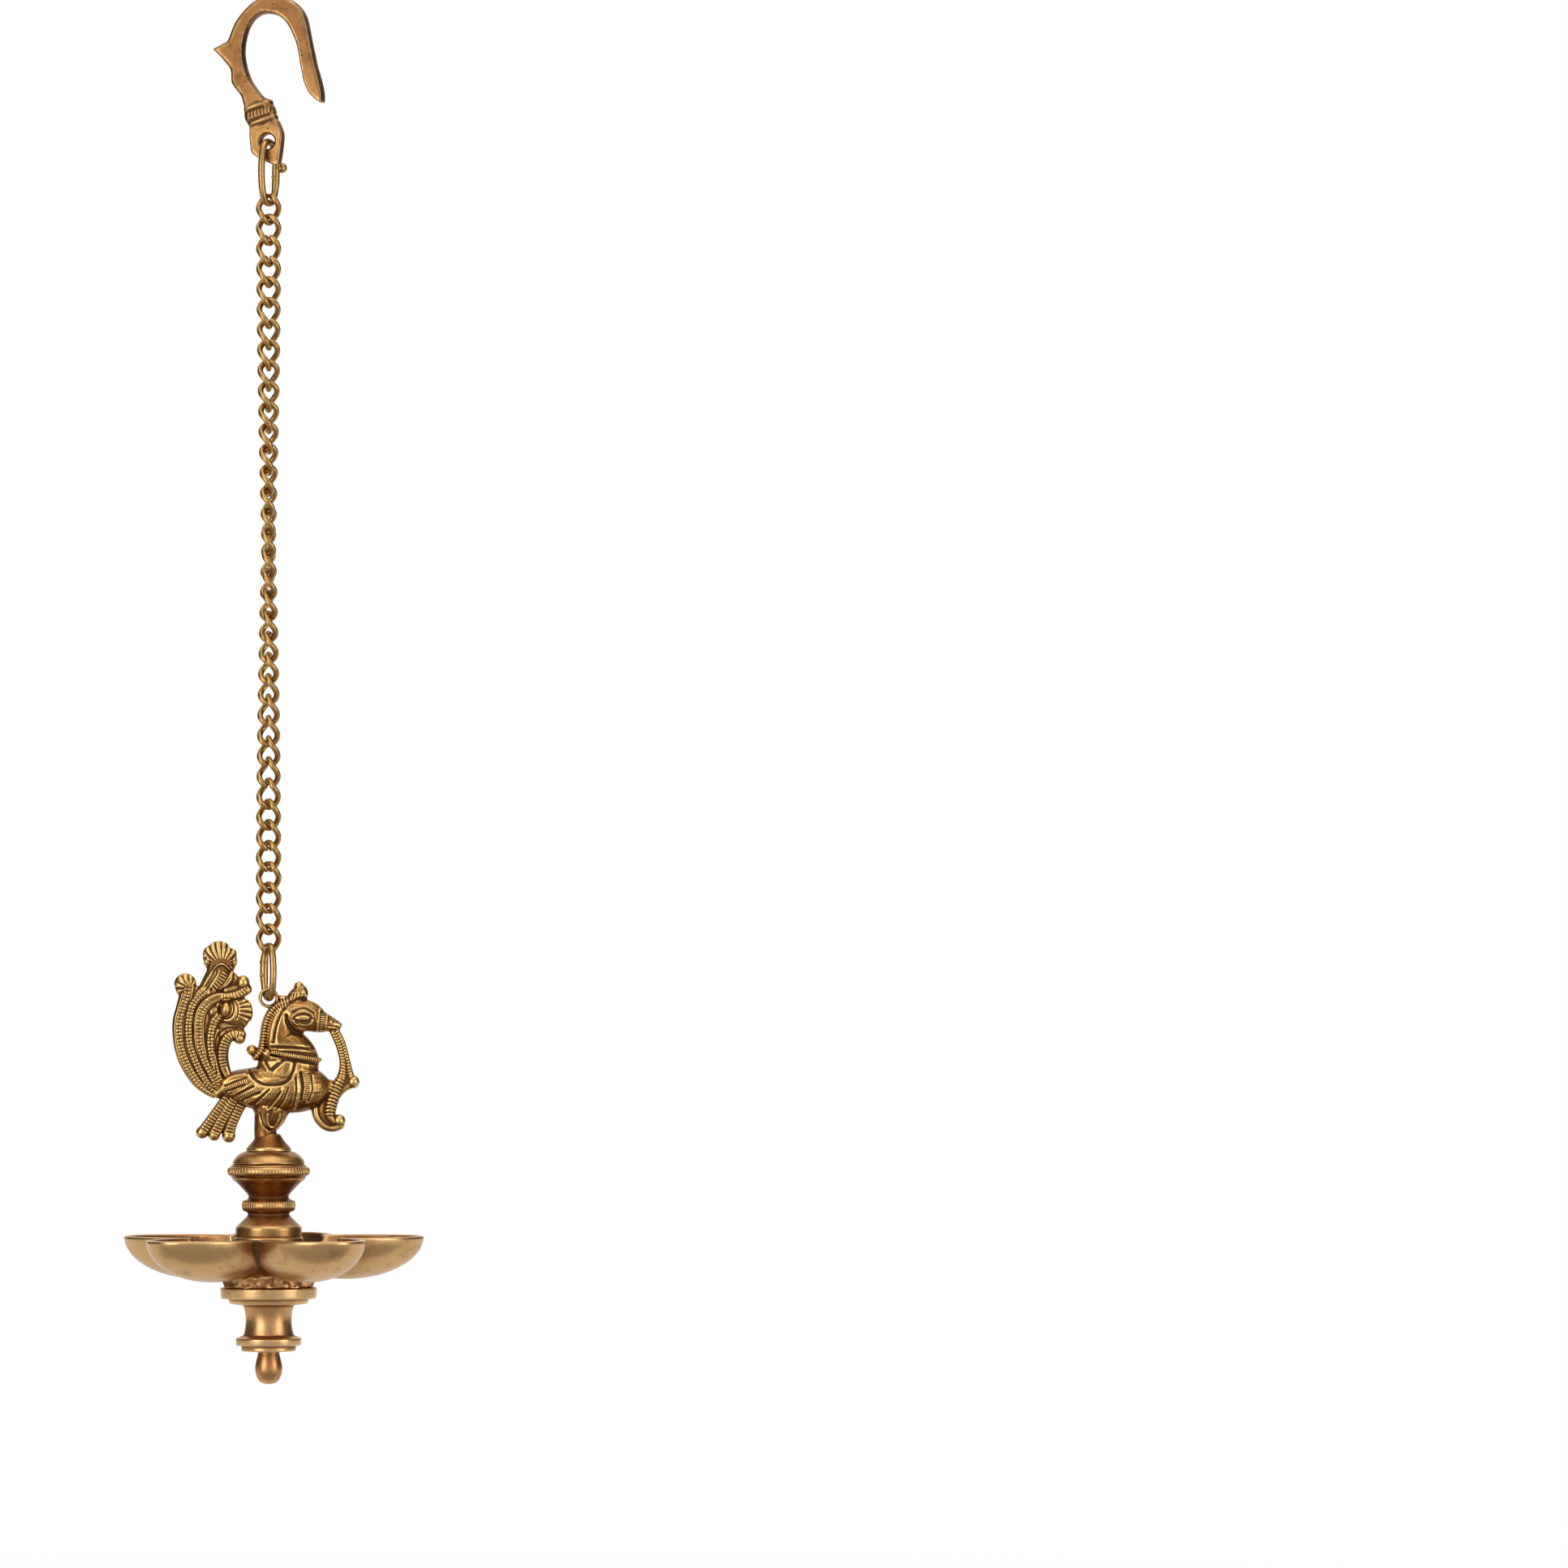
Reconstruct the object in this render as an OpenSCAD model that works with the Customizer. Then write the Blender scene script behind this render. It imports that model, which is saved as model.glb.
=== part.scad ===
// Hanging chain oil lamp: a cast hook, a curb chain between two brazed rings, a cast bird,
// and a turned pedestal, five-petal dish, stem and finial held on one inner stud.
// The origin is the inside top of the hook, where the lamp hangs. +X is the way the bird looks.

/* [Hook] */
// Plate thickness at the eye, mm
hook_plate = 5; // [4:0.1:6]
// Drop from the inside top of the hook to the centre of its eye, mm
eye_drop = 50.6; // [48:0.1:54]
// Radius of the eye in the hook's plate, mm
eye_radius = 2.9; // [2.7:0.05:3.3]
// Turn of the hook about the vertical, degrees
hook_face = -18; // [-30:1:30]

/* [Rings] */
// Wire diameter of both rings, mm
ring_wire = 2.65; // [2.4:0.05:2.8]
// Height over the upper ring, mm
upper_ring_height = 26.8; // [24:0.1:30]
// Width over the upper ring, mm
upper_ring_width = 14.7; // [14:0.1:16]
// Direction of the upper ring's plane, degrees from +X
upper_ring_face = 62; // [55:1:75]
// Height over the lower ring, mm
lower_ring_height = 23.2; // [21:0.1:26]
// Width over the lower ring, mm
lower_ring_width = 13.2; // [12.8:0.1:14.5]
// Direction of the lower ring's plane, degrees from +X
lower_ring_face = 110; // [104:1:125]

/* [Chain] */
// Wire diameter of the chain, mm
link_wire = 2.3; // [2.1:0.05:2.5]
// Length over one link, mm
link_length = 13.1; // [12.7:0.1:14.5]
// Width over one link, mm
link_width = 10.1; // [9.8:0.1:11]
// Twist from one end of a link to the other, degrees
link_twist = 90; // [75:1:100]
// Turn of each link against the one above it, degrees
link_turn = 5.14; // [4:0.01:6]
// Slack between two links where one hangs on the other, mm
wire_slack = 0.3; // [0.25:0.01:0.5]
// Slack between a ring and the link next to it, mm
ring_slack = 0.6; // [0.5:0.01:0.9]

/* [Bird] */
// Height from the foot to the centre of the hanging loop, mm
bird_height = 60; // [56:0.5:66]
// Thickness over the body, mm
bird_girth = 20; // [17:0.5:23]
// Radius of the hole in the hanging loop, mm
loop_radius = 2.6; // [2.5:0.05:2.9]
// Thickness of the hanging loop, mm
loop_plate = 4; // [3:0.1:4.4]

/* [Lamp] */
// Height of the pedestal, mm
pedestal_height = 33.6; // [30:0.1:38]
// Radius over the pedestal's beaded ring, mm
pedestal_radius = 16.1; // [15.4:0.1:18]
// Radius of the dish at the petal tips, mm
dish_radius = 61.7; // [58:0.1:66]
// Depth of the dish under its rim, mm
dish_depth = 16.8; // [15:0.1:19]
// Width over one petal, mm
petal_width = 38.4; // [36:0.1:41]
// Wall thickness of the dish, mm
dish_wall = 2.4; // [2:0.1:3]
// Height of the stem, mm
stem_height = 24.8; // [22:0.1:28]
// Radius of the stem's upper flange, mm
flange_radius = 19; // [18:0.1:21]
// Height of the finial, mm
finial_height = 13; // [12:0.1:15]
// Radius of the finial, mm
finial_radius = 5.3; // [4.9:0.1:6]

/* [Hidden] */
$fn = 48;

hook_colour = [0.72, 0.5, 0.28];
wire_colour = [0.68, 0.5, 0.24];
bird_colour = [0.6, 0.43, 0.18];
lamp_colour = [0.66, 0.47, 0.25];

link_count = 36;
petals = 5;
petal_turn = 10;
stud_radius = 2.5;
stud_play = 0.15;
stud_bite = 4;
hub_radius = 13.5;
boss_radius = 17.5;
boss_drop = 3;
eye_lift = 1.5;
mouth = 0.8;
loop_rim = 1.4;
loop_lift = 1.35;

// Half sizes of the wires' centre lines.
ring_r = ring_wire / 2;
link_r = link_wire / 2;
upper_a = upper_ring_width / 2 - ring_r;
upper_b = upper_ring_height / 2 - ring_r;
lower_a = lower_ring_width / 2 - ring_r;
lower_b = lower_ring_height / 2 - ring_r;
link_a = link_width / 2 - link_r;
link_b = link_length / 2 - link_r;

// Heights, each hung from the piece above it.
eye_z = -eye_drop;
upper_z = eye_z - eye_radius + ring_r + eye_lift - upper_b;
link_pitch = 2 * link_b - link_wire - wire_slack;
link_z = upper_z - upper_b + ring_r + link_r + ring_slack - link_b;
first_turn = 7.8;
lower_z = link_z - (link_count - 1) * link_pitch - link_b + link_r + ring_r + ring_slack - lower_b;
loop_z = lower_z - lower_b + ring_r + loop_lift - loop_radius;
foot_z = loop_z - bird_height;
rim_z = foot_z - pedestal_height;
boss_z = rim_z - dish_depth - boss_drop;
stem_z = boss_z - stem_height;
tip_z = stem_z - finial_height;

// Cross sections of the cast limbs, as fractions of half width and half thickness.
bar = [[1, 0.5], [0.6, 1], [-0.6, 1], [-1, 0.5], [-1, -0.5], [-0.6, -1], [0.6, -1], [1, -0.5]];
function oval(n) = [for (j = [0 : n - 1]) [cos(360 * j / n), sin(360 * j / n)]];

// A smooth curve through the stations, n steps between each two.
function between(a, b, c, d, t) =
    0.5 * (2 * b + (c - a) * t + (2 * a - 5 * b + 4 * c - d) * t * t + (3 * b - a - 3 * c + d) * t * t * t);
function curve(s, n) = let (m = len(s) - 1) concat(
    [for (i = [0 : m - 1]) for (j = [0 : n - 1])
        between(s[max(i - 1, 0)], s[i], s[i + 1], s[min(i + 2, m)], j / n)],
    [s[m]]);
function unit(v) = v / norm(v);
function heading(p, i) = unit([for (k = [0 : 1]) p[min(i + 1, len(p) - 1)][k] - p[max(i - 1, 0)][k]]);

// Each end of a limb is rounded by one smaller ring beyond it.
function end_ring(p, i, way) = let (t = way * heading(p, i), r = 0.6 * min(p[i][2], p[i][3]))
    [p[i][0] + t[0] * r, p[i][1] + t[1] * r, p[i][2] * 0.55, p[i][3] * 0.55, p[i][4]];
function blunt(p) = concat([end_ring(p, 0, -1)], p, [end_ring(p, len(p) - 1, 1)]);

// Walls of a tube of n rings with m points each, and of one that closes on itself.
function walls(n, m, closed = false) = [for (i = [0 : n - (closed ? 1 : 2)]) for (j = [0 : m - 1])
    let (a = i * m + j, b = i * m + (j + 1) % m, c = (i + 1) % n * m + j, d = (i + 1) % n * m + (j + 1) % m)
    each [[a, b, d], [a, d, c]]];

// A cast limb in the XZ plane. Stations are x, z, half width, half thickness and, if off centre, y.
module limb(stations, section, steps = 2) {
    full = [for (s = stations) [s[0], s[1], s[2], s[3], len(s) > 4 ? s[4] : 0]];
    path = blunt(curve(full, steps));
    n = len(path);
    m = len(section);
    points = [for (i = [0 : n - 1]) let (p = path[i], t = heading(path, i)) for (s = section)
        [p[0] - t[1] * s[0] * p[2], p[4] + s[1] * p[3], p[1] + t[0] * s[0] * p[2]]];
    ends = [[for (j = [m - 1 : -1 : 0]) j], [for (j = [0 : m - 1]) (n - 1) * m + j]];
    polyhedron(points, concat(ends, walls(n, m)));
}

// A closed wire round the origin, with the wire's radius given at each point.
module wire_loop(path, radii, sides) {
    n = len(path);
    points = [for (i = [0 : n - 1])
        let (t = unit(path[(i + 1) % n] - path[(i + n - 1) % n]))
        let (out = unit(path[i] - t * (path[i] * t)), across = cross(out, t))
        for (s = oval(sides)) path[i] + radii[i] * (out * s[0] + across * s[1])];
    polyhedron(points, walls(n, sides, true));
}

// Flat cast hook: arch, flared free arm, spur and shank as limbs, then collar and eye plate.
arch = [
    [-4.6, -36, 4.8, 2.7], [-7.2, -31.9, 3.9, 2.8], [-9.8, -28.3, 3.8, 2.8], [-11.8, -24.2, 3.6, 2.8],
    [-12.8, -17.4, 3.3, 3], [-12.8, -11.2, 3.4, 3.1], [-9.7, -2.2, 3.5, 3.2], [0, 3.8, 3.8, 3.3],
    [9.8, -0.4, 3.8, 3.2], [13.4, -7, 3.6, 3.1], [14.9, -13, 3.4, 3], [16.6, -21, 3.3, 2.9],
    [18.2, -28, 3.2, 2.7], [19.8, -32, 2.3, 2.5], [21.9, -35, 0.8, 2]
];
spur = [[-13, -16, 6.6, 2.6], [-16.1, -15.5, 5.4, 2.6], [-19.6, -14.4, 2.6, 2.3], [-22.6, -13.5, 0.8, 1.6]];
collar_top = [[-9.2, -37.2, 1.5, 3.2], [-4.2, -36.3, 1.8, 4], [0.8, -35.4, 1.5, 3.2]];
collar_low = [[-7.6, -43, 1.6, 3.4], [-1.8, -42, 2, 4.2], [4, -41, 1.6, 3.4]];
collar_core = [[-4.3, -35.4, 5, 2.6], [-3.1, -39.8, 6.2, 2.7], [-1.9, -43.4, 5.8, 2.7], [-1.5, -45, 5.6, 2.6]];
eye_plate = [
    [-7, 8.4], [3.6, 9.2], [6.2, 3.6], [6.3, -3.2], [5.2, -8.4], [4, -9.4], [0.4, -8.4], [-5.8, -4.4],
    [-6.9, 0]
];
rib_count = 6;

module hook() color(hook_colour) rotate([0, 0, hook_face]) {
    limb(arch, bar, 3);
    limb(spur, bar, 1);
    limb(collar_core, bar, 1);
    limb(collar_top, oval(8));
    limb(collar_low, oval(8));
    for (side = [-1, 1]) for (i = [0 : rib_count - 1])
        translate([-7 + 1.42 * i, side * 2.4, -41 + 0.22 * i]) cylinder(r = 0.7, h = 3.6, $fn = 16);
    difference() {
        translate([0, hook_plate / 2, eye_z]) rotate([90, 0, 0])
            linear_extrude(hook_plate) polygon(eye_plate);
        translate([0, 0, eye_z]) flared_hole(eye_radius, hook_plate);
    }
}

// A hole through a plate in the XZ plane, flared by a chamfer on both faces.
module flared_hole(r, plate) {
    translate([0, plate, 0]) rotate([90, 0, 0]) cylinder(r = r, h = 2 * plate);
    for (side = [0, 1]) mirror([0, side, 0]) translate([0, mouth - plate / 2, 0]) rotate([90, 0, 0])
        cylinder(r1 = r, r2 = r + 2 * mouth, h = 2 * mouth);
}

// Brazed oval ring of thick wire. The braze is a swelling of the wire on one leg.
ring_steps = 22;
ring_sides = 6;
function oval_path(a, b, face) = [for (i = [0 : ring_steps - 1])
    let (t = 360 * i / ring_steps, w = a * sign(sin(t)) * pow(abs(sin(t)), 0.7))
    [w * cos(face), w * sin(face), b * cos(t)]];
function brazed(at, swell) = [for (i = [0 : ring_steps - 1]) ring_r + (i == at ? swell : 0)];

module upper_ring() color(wire_colour) translate([0, 0, upper_z])
    wire_loop(oval_path(upper_a, upper_b, upper_ring_face), brazed(6, 0.5), ring_sides);

module lower_ring() color(wire_colour) translate([0, 0, lower_z])
    wire_loop(oval_path(lower_a, lower_b, lower_ring_face), brazed(5, 0.4), ring_sides);

// One curb link: an oval loop of wire whose two flat ends are twisted against each other.
link_steps = 14;
link_sides = 6;
link_path = [for (i = [0 : link_steps - 1])
    let (t = 360 * i / link_steps, w = link_a * sin(t), face = -link_twist / 2 * sin(90 * cos(t)))
    [w * cos(face), w * sin(face), link_b * cos(t)]];

module link(k) color(wire_colour)
    translate([0, 0, link_z - (k - 1) * link_pitch]) rotate([0, 0, first_turn + (k - 1) * link_turn])
    wire_loop(link_path, [for (p = link_path) link_r], link_sides);

// The bird, drawn in mm from its loop's centre at a foot-to-loop height of 60.
plume_a = [
    [-20.6, -37.2, 2.2, 2.6], [-27.7, -32, 2.9, 2.8], [-32.7, -24.6, 2.8, 2.9], [-34.6, -16.4, 2.6, 2.9],
    [-34.4, -7.8, 2.6, 2.8], [-33, -0.9, 2.7, 2.7], [-31.6, 3.7, 2.6, 2.5]
];
plume_b = [
    [-19.4, -35.9, 1.5, 2.8], [-25.2, -30.2, 2, 3.1], [-29.3, -23.3, 2.2, 3.2], [-30.6, -15.2, 2.3, 3.2],
    [-30, -7.8, 2.4, 3.1], [-27.9, -1.7, 2.6, 3], [-24.6, 2.9, 3, 2.9], [-20.7, 8.3, 3.8, 2.8],
    [-17, 13.2, 3.8, 2.6]
];
plume_c = [
    [-18.5, -35.1, 1.5, 3], [-22.9, -29, 2, 3.3], [-26, -22.1, 2.1, 3.4], [-27, -14.7, 2.3, 3.4],
    [-25.9, -7.8, 2.4, 3.3], [-22.4, -2.4, 2.6, 3.1], [-17.2, 0.2, 2.4, 2.9], [-12.4, 1.6, 2, 2.7],
    [-9.2, 4, 1.8, 2.5]
];
plume_d = [
    [-17.5, -33.4, 1.3, 3], [-20.6, -27.9, 1.9, 3.3], [-22.5, -21, 2.1, 3.4], [-22.9, -14.7, 2.2, 3.4],
    [-21.4, -9, 2.5, 3.2], [-17.4, -5, 3.6, 3]
];
plume_e = [
    [-16.4, -32, 1.3, 2.8], [-18.3, -26.4, 1.7, 3], [-19, -21.4, 1.8, 3], [-17.9, -17.4, 1.8, 2.9],
    [-14.8, -15.4, 1.8, 2.7], [-11.4, -15.7, 1.8, 2.5]
];
fan_right = [
    [-17, -6, 3.4, 2.4], [-12.7, -6, 6, 2.6], [-9.2, -5.2, 6.5, 2.4], [-6.9, -4.9, 4.6, 2], [-5.9, -4.9, 2.4, 1.6]
];
fan_top = [
    [-16.9, 9.4, 5, 2.5], [-17.6, 12.4, 6.3, 2.6], [-18.2, 16.4, 6.8, 2.7], [-18.4, 19.2, 6.3, 2.5],
    [-18.3, 21.6, 3, 1.9]
];
webs = [
    [[-22.4, 4.6, 2.4, 2], [-17.4, 6.4, 4.2, 2.2], [-12.4, 7.4, 3, 2]],
    [[-20.4, -10.4, 1.8, 2], [-15, -11.8, 2.6, 2], [-9.8, -12, 1.8, 1.8]]
];
lower_feathers = [
    [[-15, -37.4, 1.9, 2.4], [-21.8, -46.7, 1.9, 2.4], [-25.8, -52.4, 2.1, 2.5]],
    [[-12.4, -38, 2.1, 2.8], [-18.2, -47.6, 2.2, 2.8], [-21.3, -53.2, 2.2, 2.7]],
    [[-9.4, -38.8, 2, 2.5], [-14.1, -48.6, 2, 2.6], [-15.6, -53.4, 2.3, 2.6]]
];
body = [
    [-19.9, -37.2, 2.2, 3.2], [-14.4, -34.4, 5.6, 5.6], [-5.8, -35.3, 8.5, 8.4], [4, -35.5, 9.7, 10],
    [13.2, -35.5, 9.3, 9.6], [19.6, -35.1, 6.9, 7.4], [23.3, -35.1, 3.3, 4]
];
neck = [
    [7, -33.1, 12, 9.2], [7.8, -27, 12.4, 8.8], [8.9, -23.6, 11.2, 8], [7.8, -20.2, 9.6, 7.4],
    [4.9, -16.6, 7.4, 6.8], [4.6, -11.8, 6.8, 6.4], [5.8, -7.2, 5.8, 6]
];
head = [
    [2.6, -7.2, 3.5, 4.6], [8.3, -7.3, 6.9, 6.4], [15, -7, 6.6, 6.2], [20.4, -9.5, 4.4, 4.8],
    [25, -10.2, 2.8, 3.2], [28.2, -10.6, 1.2, 1.8]
];
crest = [[10, -2.2, 3.8, 3.8], [11.4, 2, 3.4, 3.4], [11.4, 4.8, 1.9, 2.6]];
mane = [
    [9.8, -1, 1.2, 3.4], [4.6, -2.2, 1.4, 3.4], [0.6, -5.8, 1.5, 3.6], [-1.4, -10.6, 1.5, 4.8],
    [-2.1, -15.8, 1.5, 5], [-2.9, -20.4, 1.6, 5.2], [-5.2, -23.2, 1.5, 4.6]
];
vine_out = [
    [27.3, -12.1, 0.9, 1.5], [29.8, -17.5, 1, 1.6], [31.5, -23.9, 1, 1.6], [32.9, -30.2, 1.3, 1.8],
    [34.1, -33.2, 1.9, 2.2]
];
vine_in = [
    [25.8, -12.6, 1.6, 1.6], [28.6, -19.3, 1.4, 1.7], [29.9, -25.6, 1.4, 1.8], [29.6, -31.1, 2.1, 2.2],
    [26.6, -36.8, 3.1, 3.2], [24.6, -42.8, 3.1, 3.4], [24.4, -46.6, 2.8, 3], [26.6, -49, 2.1, 2.6]
];
bud_stem = [[33.2, -34.6, 1.5, 1.8], [30.2, -36.6, 1.7, 1.9], [27.2, -40, 1.8, 2.2]];
pendant = [
    [17.8, -43.4, 1.8, 2.8], [18.9, -47, 2.3, 2.7], [21.8, -50, 2.1, 2.6], [25.2, -51, 1.7, 2.5],
    [28, -50, 1.7, 2.4]
];
nape = [[4.6, 0.2, 1.6, 2], [8, -1.4, 2, 2.6]];
loop_root = [[1.4, -3, 1.5, 2], [6, -4.2, 2.2, 2.8]];
thigh = [
    [1, -43, 7.8, 7.2], [0.6, -46.4, 6.3, 6.4], [0.1, -49.2, 4.7, 5.6], [-0.5, -52.2, 3.5, 4.6], [-0.1, -55.5, 3.8, 4.8]
];
saddle = [
    [-4.8, -27.4, 1.4, 1.6], [-2.9, -31.1, 1.9, 1.7], [2, -32.6, 2, 1.8], [6.9, -30.5, 1.8, 1.7],
    [9.3, -26.6, 1, 1.4]
];
wing = [
    [[-16.4, -32.8, 1, 1], [-12.7, -31.4, 1.2, 1.1], [-7.5, -30.4, 0.7, 1]],
    [[-17.6, -35.7, 1.2, 1], [-13.2, -34.2, 1.3, 1.1], [-8.3, -32.4, 0.8, 1]],
    [[-13.2, -38.2, 1.1, 1], [-8.6, -37.1, 1.2, 1.1], [-2.9, -34.4, 0.8, 1]],
    [[-7.2, -40.9, 1.1, 1], [-1.7, -38.8, 1.3, 1.1], [3.2, -35.6, 0.8, 1]],
    [[0.8, -43, 1, 1], [4.6, -39.4, 1.3, 1.1], [7.2, -34.6, 0.9, 1]],
    [[6.2, -43, 1, 1], [8.8, -38.2, 1.3, 1.1], [10.2, -31.9, 0.9, 1]],
    [[12.2, -41.6, 0.9, 1], [14.7, -35.9, 1.3, 1.1], [14.4, -28.8, 0.9, 1]]
];
collars = [
    [[0.4, -21.6, 0.9, 1.2], [6.3, -22, 1.2, 1.3], [13.8, -23.4, 1.2, 1.2], [18.4, -24.2, 1, 1]],
    [[0.4, -19.6, 0.7, 1], [6.3, -20, 0.8, 1.1], [12.4, -20.6, 0.8, 1], [16, -21, 0.7, 0.9]]
];

// Half thickness of the body and neck under a point, for the pieces of relief that lie on them.
function swell(s, k, at, off) =
    let (mid = lookup(at, [for (p = s) [p[k], p[1 - k]]]), w = lookup(at, [for (p = s) [p[k], p[2]]]))
    lookup(at, [for (p = s) [p[k], p[3]]]) * sqrt(max(0.15, 1 - pow((off - mid) / w, 2)));
function rise(x, z) = max(swell(body, 0, x, z), z > -33 ? swell(neck, 1, z, x) : 0);
function laid(s) = [for (p = s) [p[0], p[1], p[2], p[3], rise(p[0], p[1]) - 0.2]];

// A cushion-shaped end of a plume, curl or bud.
module pad(x, z, r, thick) translate([x, 0, z]) rotate([90, 0, 0]) hull() {
    cylinder(r = r, h = thick, center = true, $fn = 9);
    cylinder(r = r * 0.65, h = thick * 1.6, center = true, $fn = 9);
}

bird_scale = bird_height / 60;
girth = bird_girth / 20 / bird_scale;

module bird_casting() {
    scale(bird_scale) {
        scale([1, girth, 1]) {
            for (p = [plume_a, plume_b, plume_c, plume_d, plume_e]) limb(p, oval(6), 1);
            limb(fan_right, oval(8), 1);
            limb(fan_top, oval(8), 1);
            for (p = webs) limb(p, oval(6), 1);
            pad(-31.8, 5.3, 4.5, 4);
            pad(-9.2, 6, 2.8, 4);
            pad(-16.8, -4.9, 2.6, 6);
            pad(-10.9, -15.3, 2.8, 4);
            for (p = lower_feathers) limb(p, oval(6), 1);
            pad(-26, -52.6, 2.5, 3.6);
            pad(-21.3, -53.6, 2.5, 4);
            pad(-15.6, -54, 2.7, 4);
            limb(body, oval(10), 1);
            limb(neck, oval(10), 1);
            limb(head, oval(10), 1);
            limb(crest, oval(8), 1);
            limb(mane, oval(6), 1);
            limb(loop_root, oval(6), 1);
            limb(nape, oval(6), 1);
            pad(-6.6, -20.4, 2.1, 5);
            pad(13.2, -7.2, 2.6, 8.6);
            limb(vine_out, oval(6), 1);
            limb(vine_in, oval(6), 1);
            limb(bud_stem, oval(6), 1);
            limb(pendant, oval(6), 1);
            pad(34.1, -33.8, 2.5, 3.4);
            pad(27.4, -48.2, 2.7, 4);
            limb(thigh, oval(8), 1);
            for (side = [0, 1]) mirror([0, side, 0]) {
                limb(laid(saddle), oval(6), 1);
                for (p = wing) limb(laid(p), oval(4), 1);
                for (p = collars) limb(laid(p), oval(4), 1);
            }
        }
        translate([0, 0, -60]) cylinder(r = 8.8, h = 1.6, $fn = 24);
        translate([0, 0, -58.4]) cylinder(r1 = 8.5, r2 = 3, h = 5.6, $fn = 24);
    }
    translate([0, loop_plate / 2, 0]) rotate([90, 0, 0])
        cylinder(r = loop_radius + loop_rim, h = loop_plate, $fn = 24);
}

module bird() color(bird_colour) translate([0, 0, loop_z]) difference() {
    bird_casting();
    flared_hole(loop_radius, loop_plate, $fn = 24);
    translate([0, 0, -bird_height - 1]) stud_hole(stud_bite + 1.5, $fn = 24);
}

// Plain round way for the stud through the pieces that it holds.
module stud_hole(length) cylinder(r = stud_radius + stud_play, h = length);

// Turned pedestal: cushion base, small ring, taper, beaded ring and a domed top under the foot.
pedestal_scale = pedestal_height / 33.6;
pedestal_profile = [
    [0, 0], [12.6, 0], [13, 0.5], [13, 3.6], [8.1, 8.4], [8.1, 9.2], [7.6, 15.6], [11.9, 21.6],
    [13.2, 22.2], [13.2, 23], [12.6, 28.4], [8, 33.6], [0, 33.6]
];

module pedestal() color(lamp_colour) translate([0, 0, rim_z]) difference() {
    scale(pedestal_scale) rotate_extrude() {
        polygon(pedestal_profile);
        translate([7.6, 12.2]) circle(r = 2.7);
        translate([pedestal_radius / pedestal_scale - 2.5, 25.7]) circle(r = 2.5);
        intersection() {
            translate([7.3, 26.2]) circle(r = 7.5);
            square([20, 33.6]);
        }
    }
    translate([0, 0, -1]) stud_hole(pedestal_height + 2);
}

// Five-petal dish. Each petal is half an ellipsoid; the five run together round a raised hub.
petal_long = dish_radius / 2 - 0.1;
petal_mid = dish_radius - petal_long;
shell_in = hub_radius - 1.5;
dish_around = 12 * petals;
dish_rows = 5;

function to_petal(angle) = abs((angle + 360 / petals * 10 + 180 / petals) % (360 / petals) - 180 / petals);
function edge(angle, a, b) = let (c = cos(to_petal(angle)), s = sin(to_petal(angle)))
    let (p = c * c / a / a + s * s / b / b, q = petal_mid * c / a / a)
    (q + sqrt(q * q - p * (pow(petal_mid / a, 2) - 1))) / p;
function depth(r, angle, a, b, h) =
    let (u = r * cos(to_petal(angle)) - petal_mid, v = r * sin(to_petal(angle)))
    h * sqrt(max(0, 1 - pow(u / a, 2) - pow(v / b, 2)));
function shell_row(f, a, b, h) = [for (i = [0 : dish_around - 1])
    let (angle = 360 * i / dish_around, r = shell_in + (edge(angle, a, b) - shell_in) * f)
    [r * cos(angle), r * sin(angle), f == 1 ? 0 : -depth(r, angle, a, b, h)]];
function rows(a, b, h) = [for (k = [0 : dish_rows]) shell_row(sin(90 * k / dish_rows), a, b, h)];

module dish_shell() {
    a = petal_long;
    b = petal_width / 2;
    inner = rows(a - dish_wall, b - dish_wall, dish_depth - dish_wall);
    outer = rows(a, b, dish_depth);
    all_rows = concat(outer, [for (k = [dish_rows : -1 : 0]) inner[k]]);
    points = [for (r = all_rows) each r];
    n = len(all_rows);
    polyhedron(points, [for (f = walls(n, dish_around, true)) [f[2], f[1], f[0]]]);
}

module dish() color(lamp_colour) translate([0, 0, rim_z]) rotate([0, 0, petal_turn]) difference() {
    union() {
        dish_shell();
        translate([0, 0, -dish_depth]) cylinder(r = hub_radius, h = dish_depth);
        translate([0, 0, -dish_depth - boss_drop]) cylinder(r = boss_radius, h = boss_drop + 2);
        translate([0, 0, 1.9 - dish_depth]) cylinder(r1 = boss_radius, r2 = hub_radius - 0.2, h = 8);
    }
    translate([0, 0, -dish_depth - boss_drop - 1]) stud_hole(dish_depth + boss_drop + 2);
}

// Turned stem: wide flange and step on top, waisted column, then a small flange and step.
waist = 9;
column_end = 10.2;
stem_step = 15.7;
low_flange = 12.9;
low_step = 10.7;

module stem() color(lamp_colour) translate([0, 0, stem_z]) difference() {
    rotate_extrude() {
        h = stem_height;
        column = h - 11.4;
        hollow = (pow(column / 2, 2) + pow(column_end - waist, 2)) / 2 / (column_end - waist);
        difference() {
            translate([0, 5.3]) square([column_end + 0.4, column]);
            translate([waist + hollow, 5.3 + column / 2]) circle(r = hollow, $fn = 96);
        }
        square([low_step, 2.2]);
        polygon([
            [0, 2.1], [low_flange - 0.6, 2.1], [low_flange, 2.7], [low_flange, 4.7],
            [low_flange - 0.6, 5.3], [0, 5.3]
        ]);
        translate([0, h - 6.2]) square([stem_step, 2.1]);
        polygon([
            [0, h - 4.2], [flange_radius - 0.5, h - 4.2], [flange_radius, h - 3.7], [flange_radius, h],
            [0, h]
        ]);
    }
    translate([0, 0, -1]) stud_hole(stem_height + 2);
}

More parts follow.
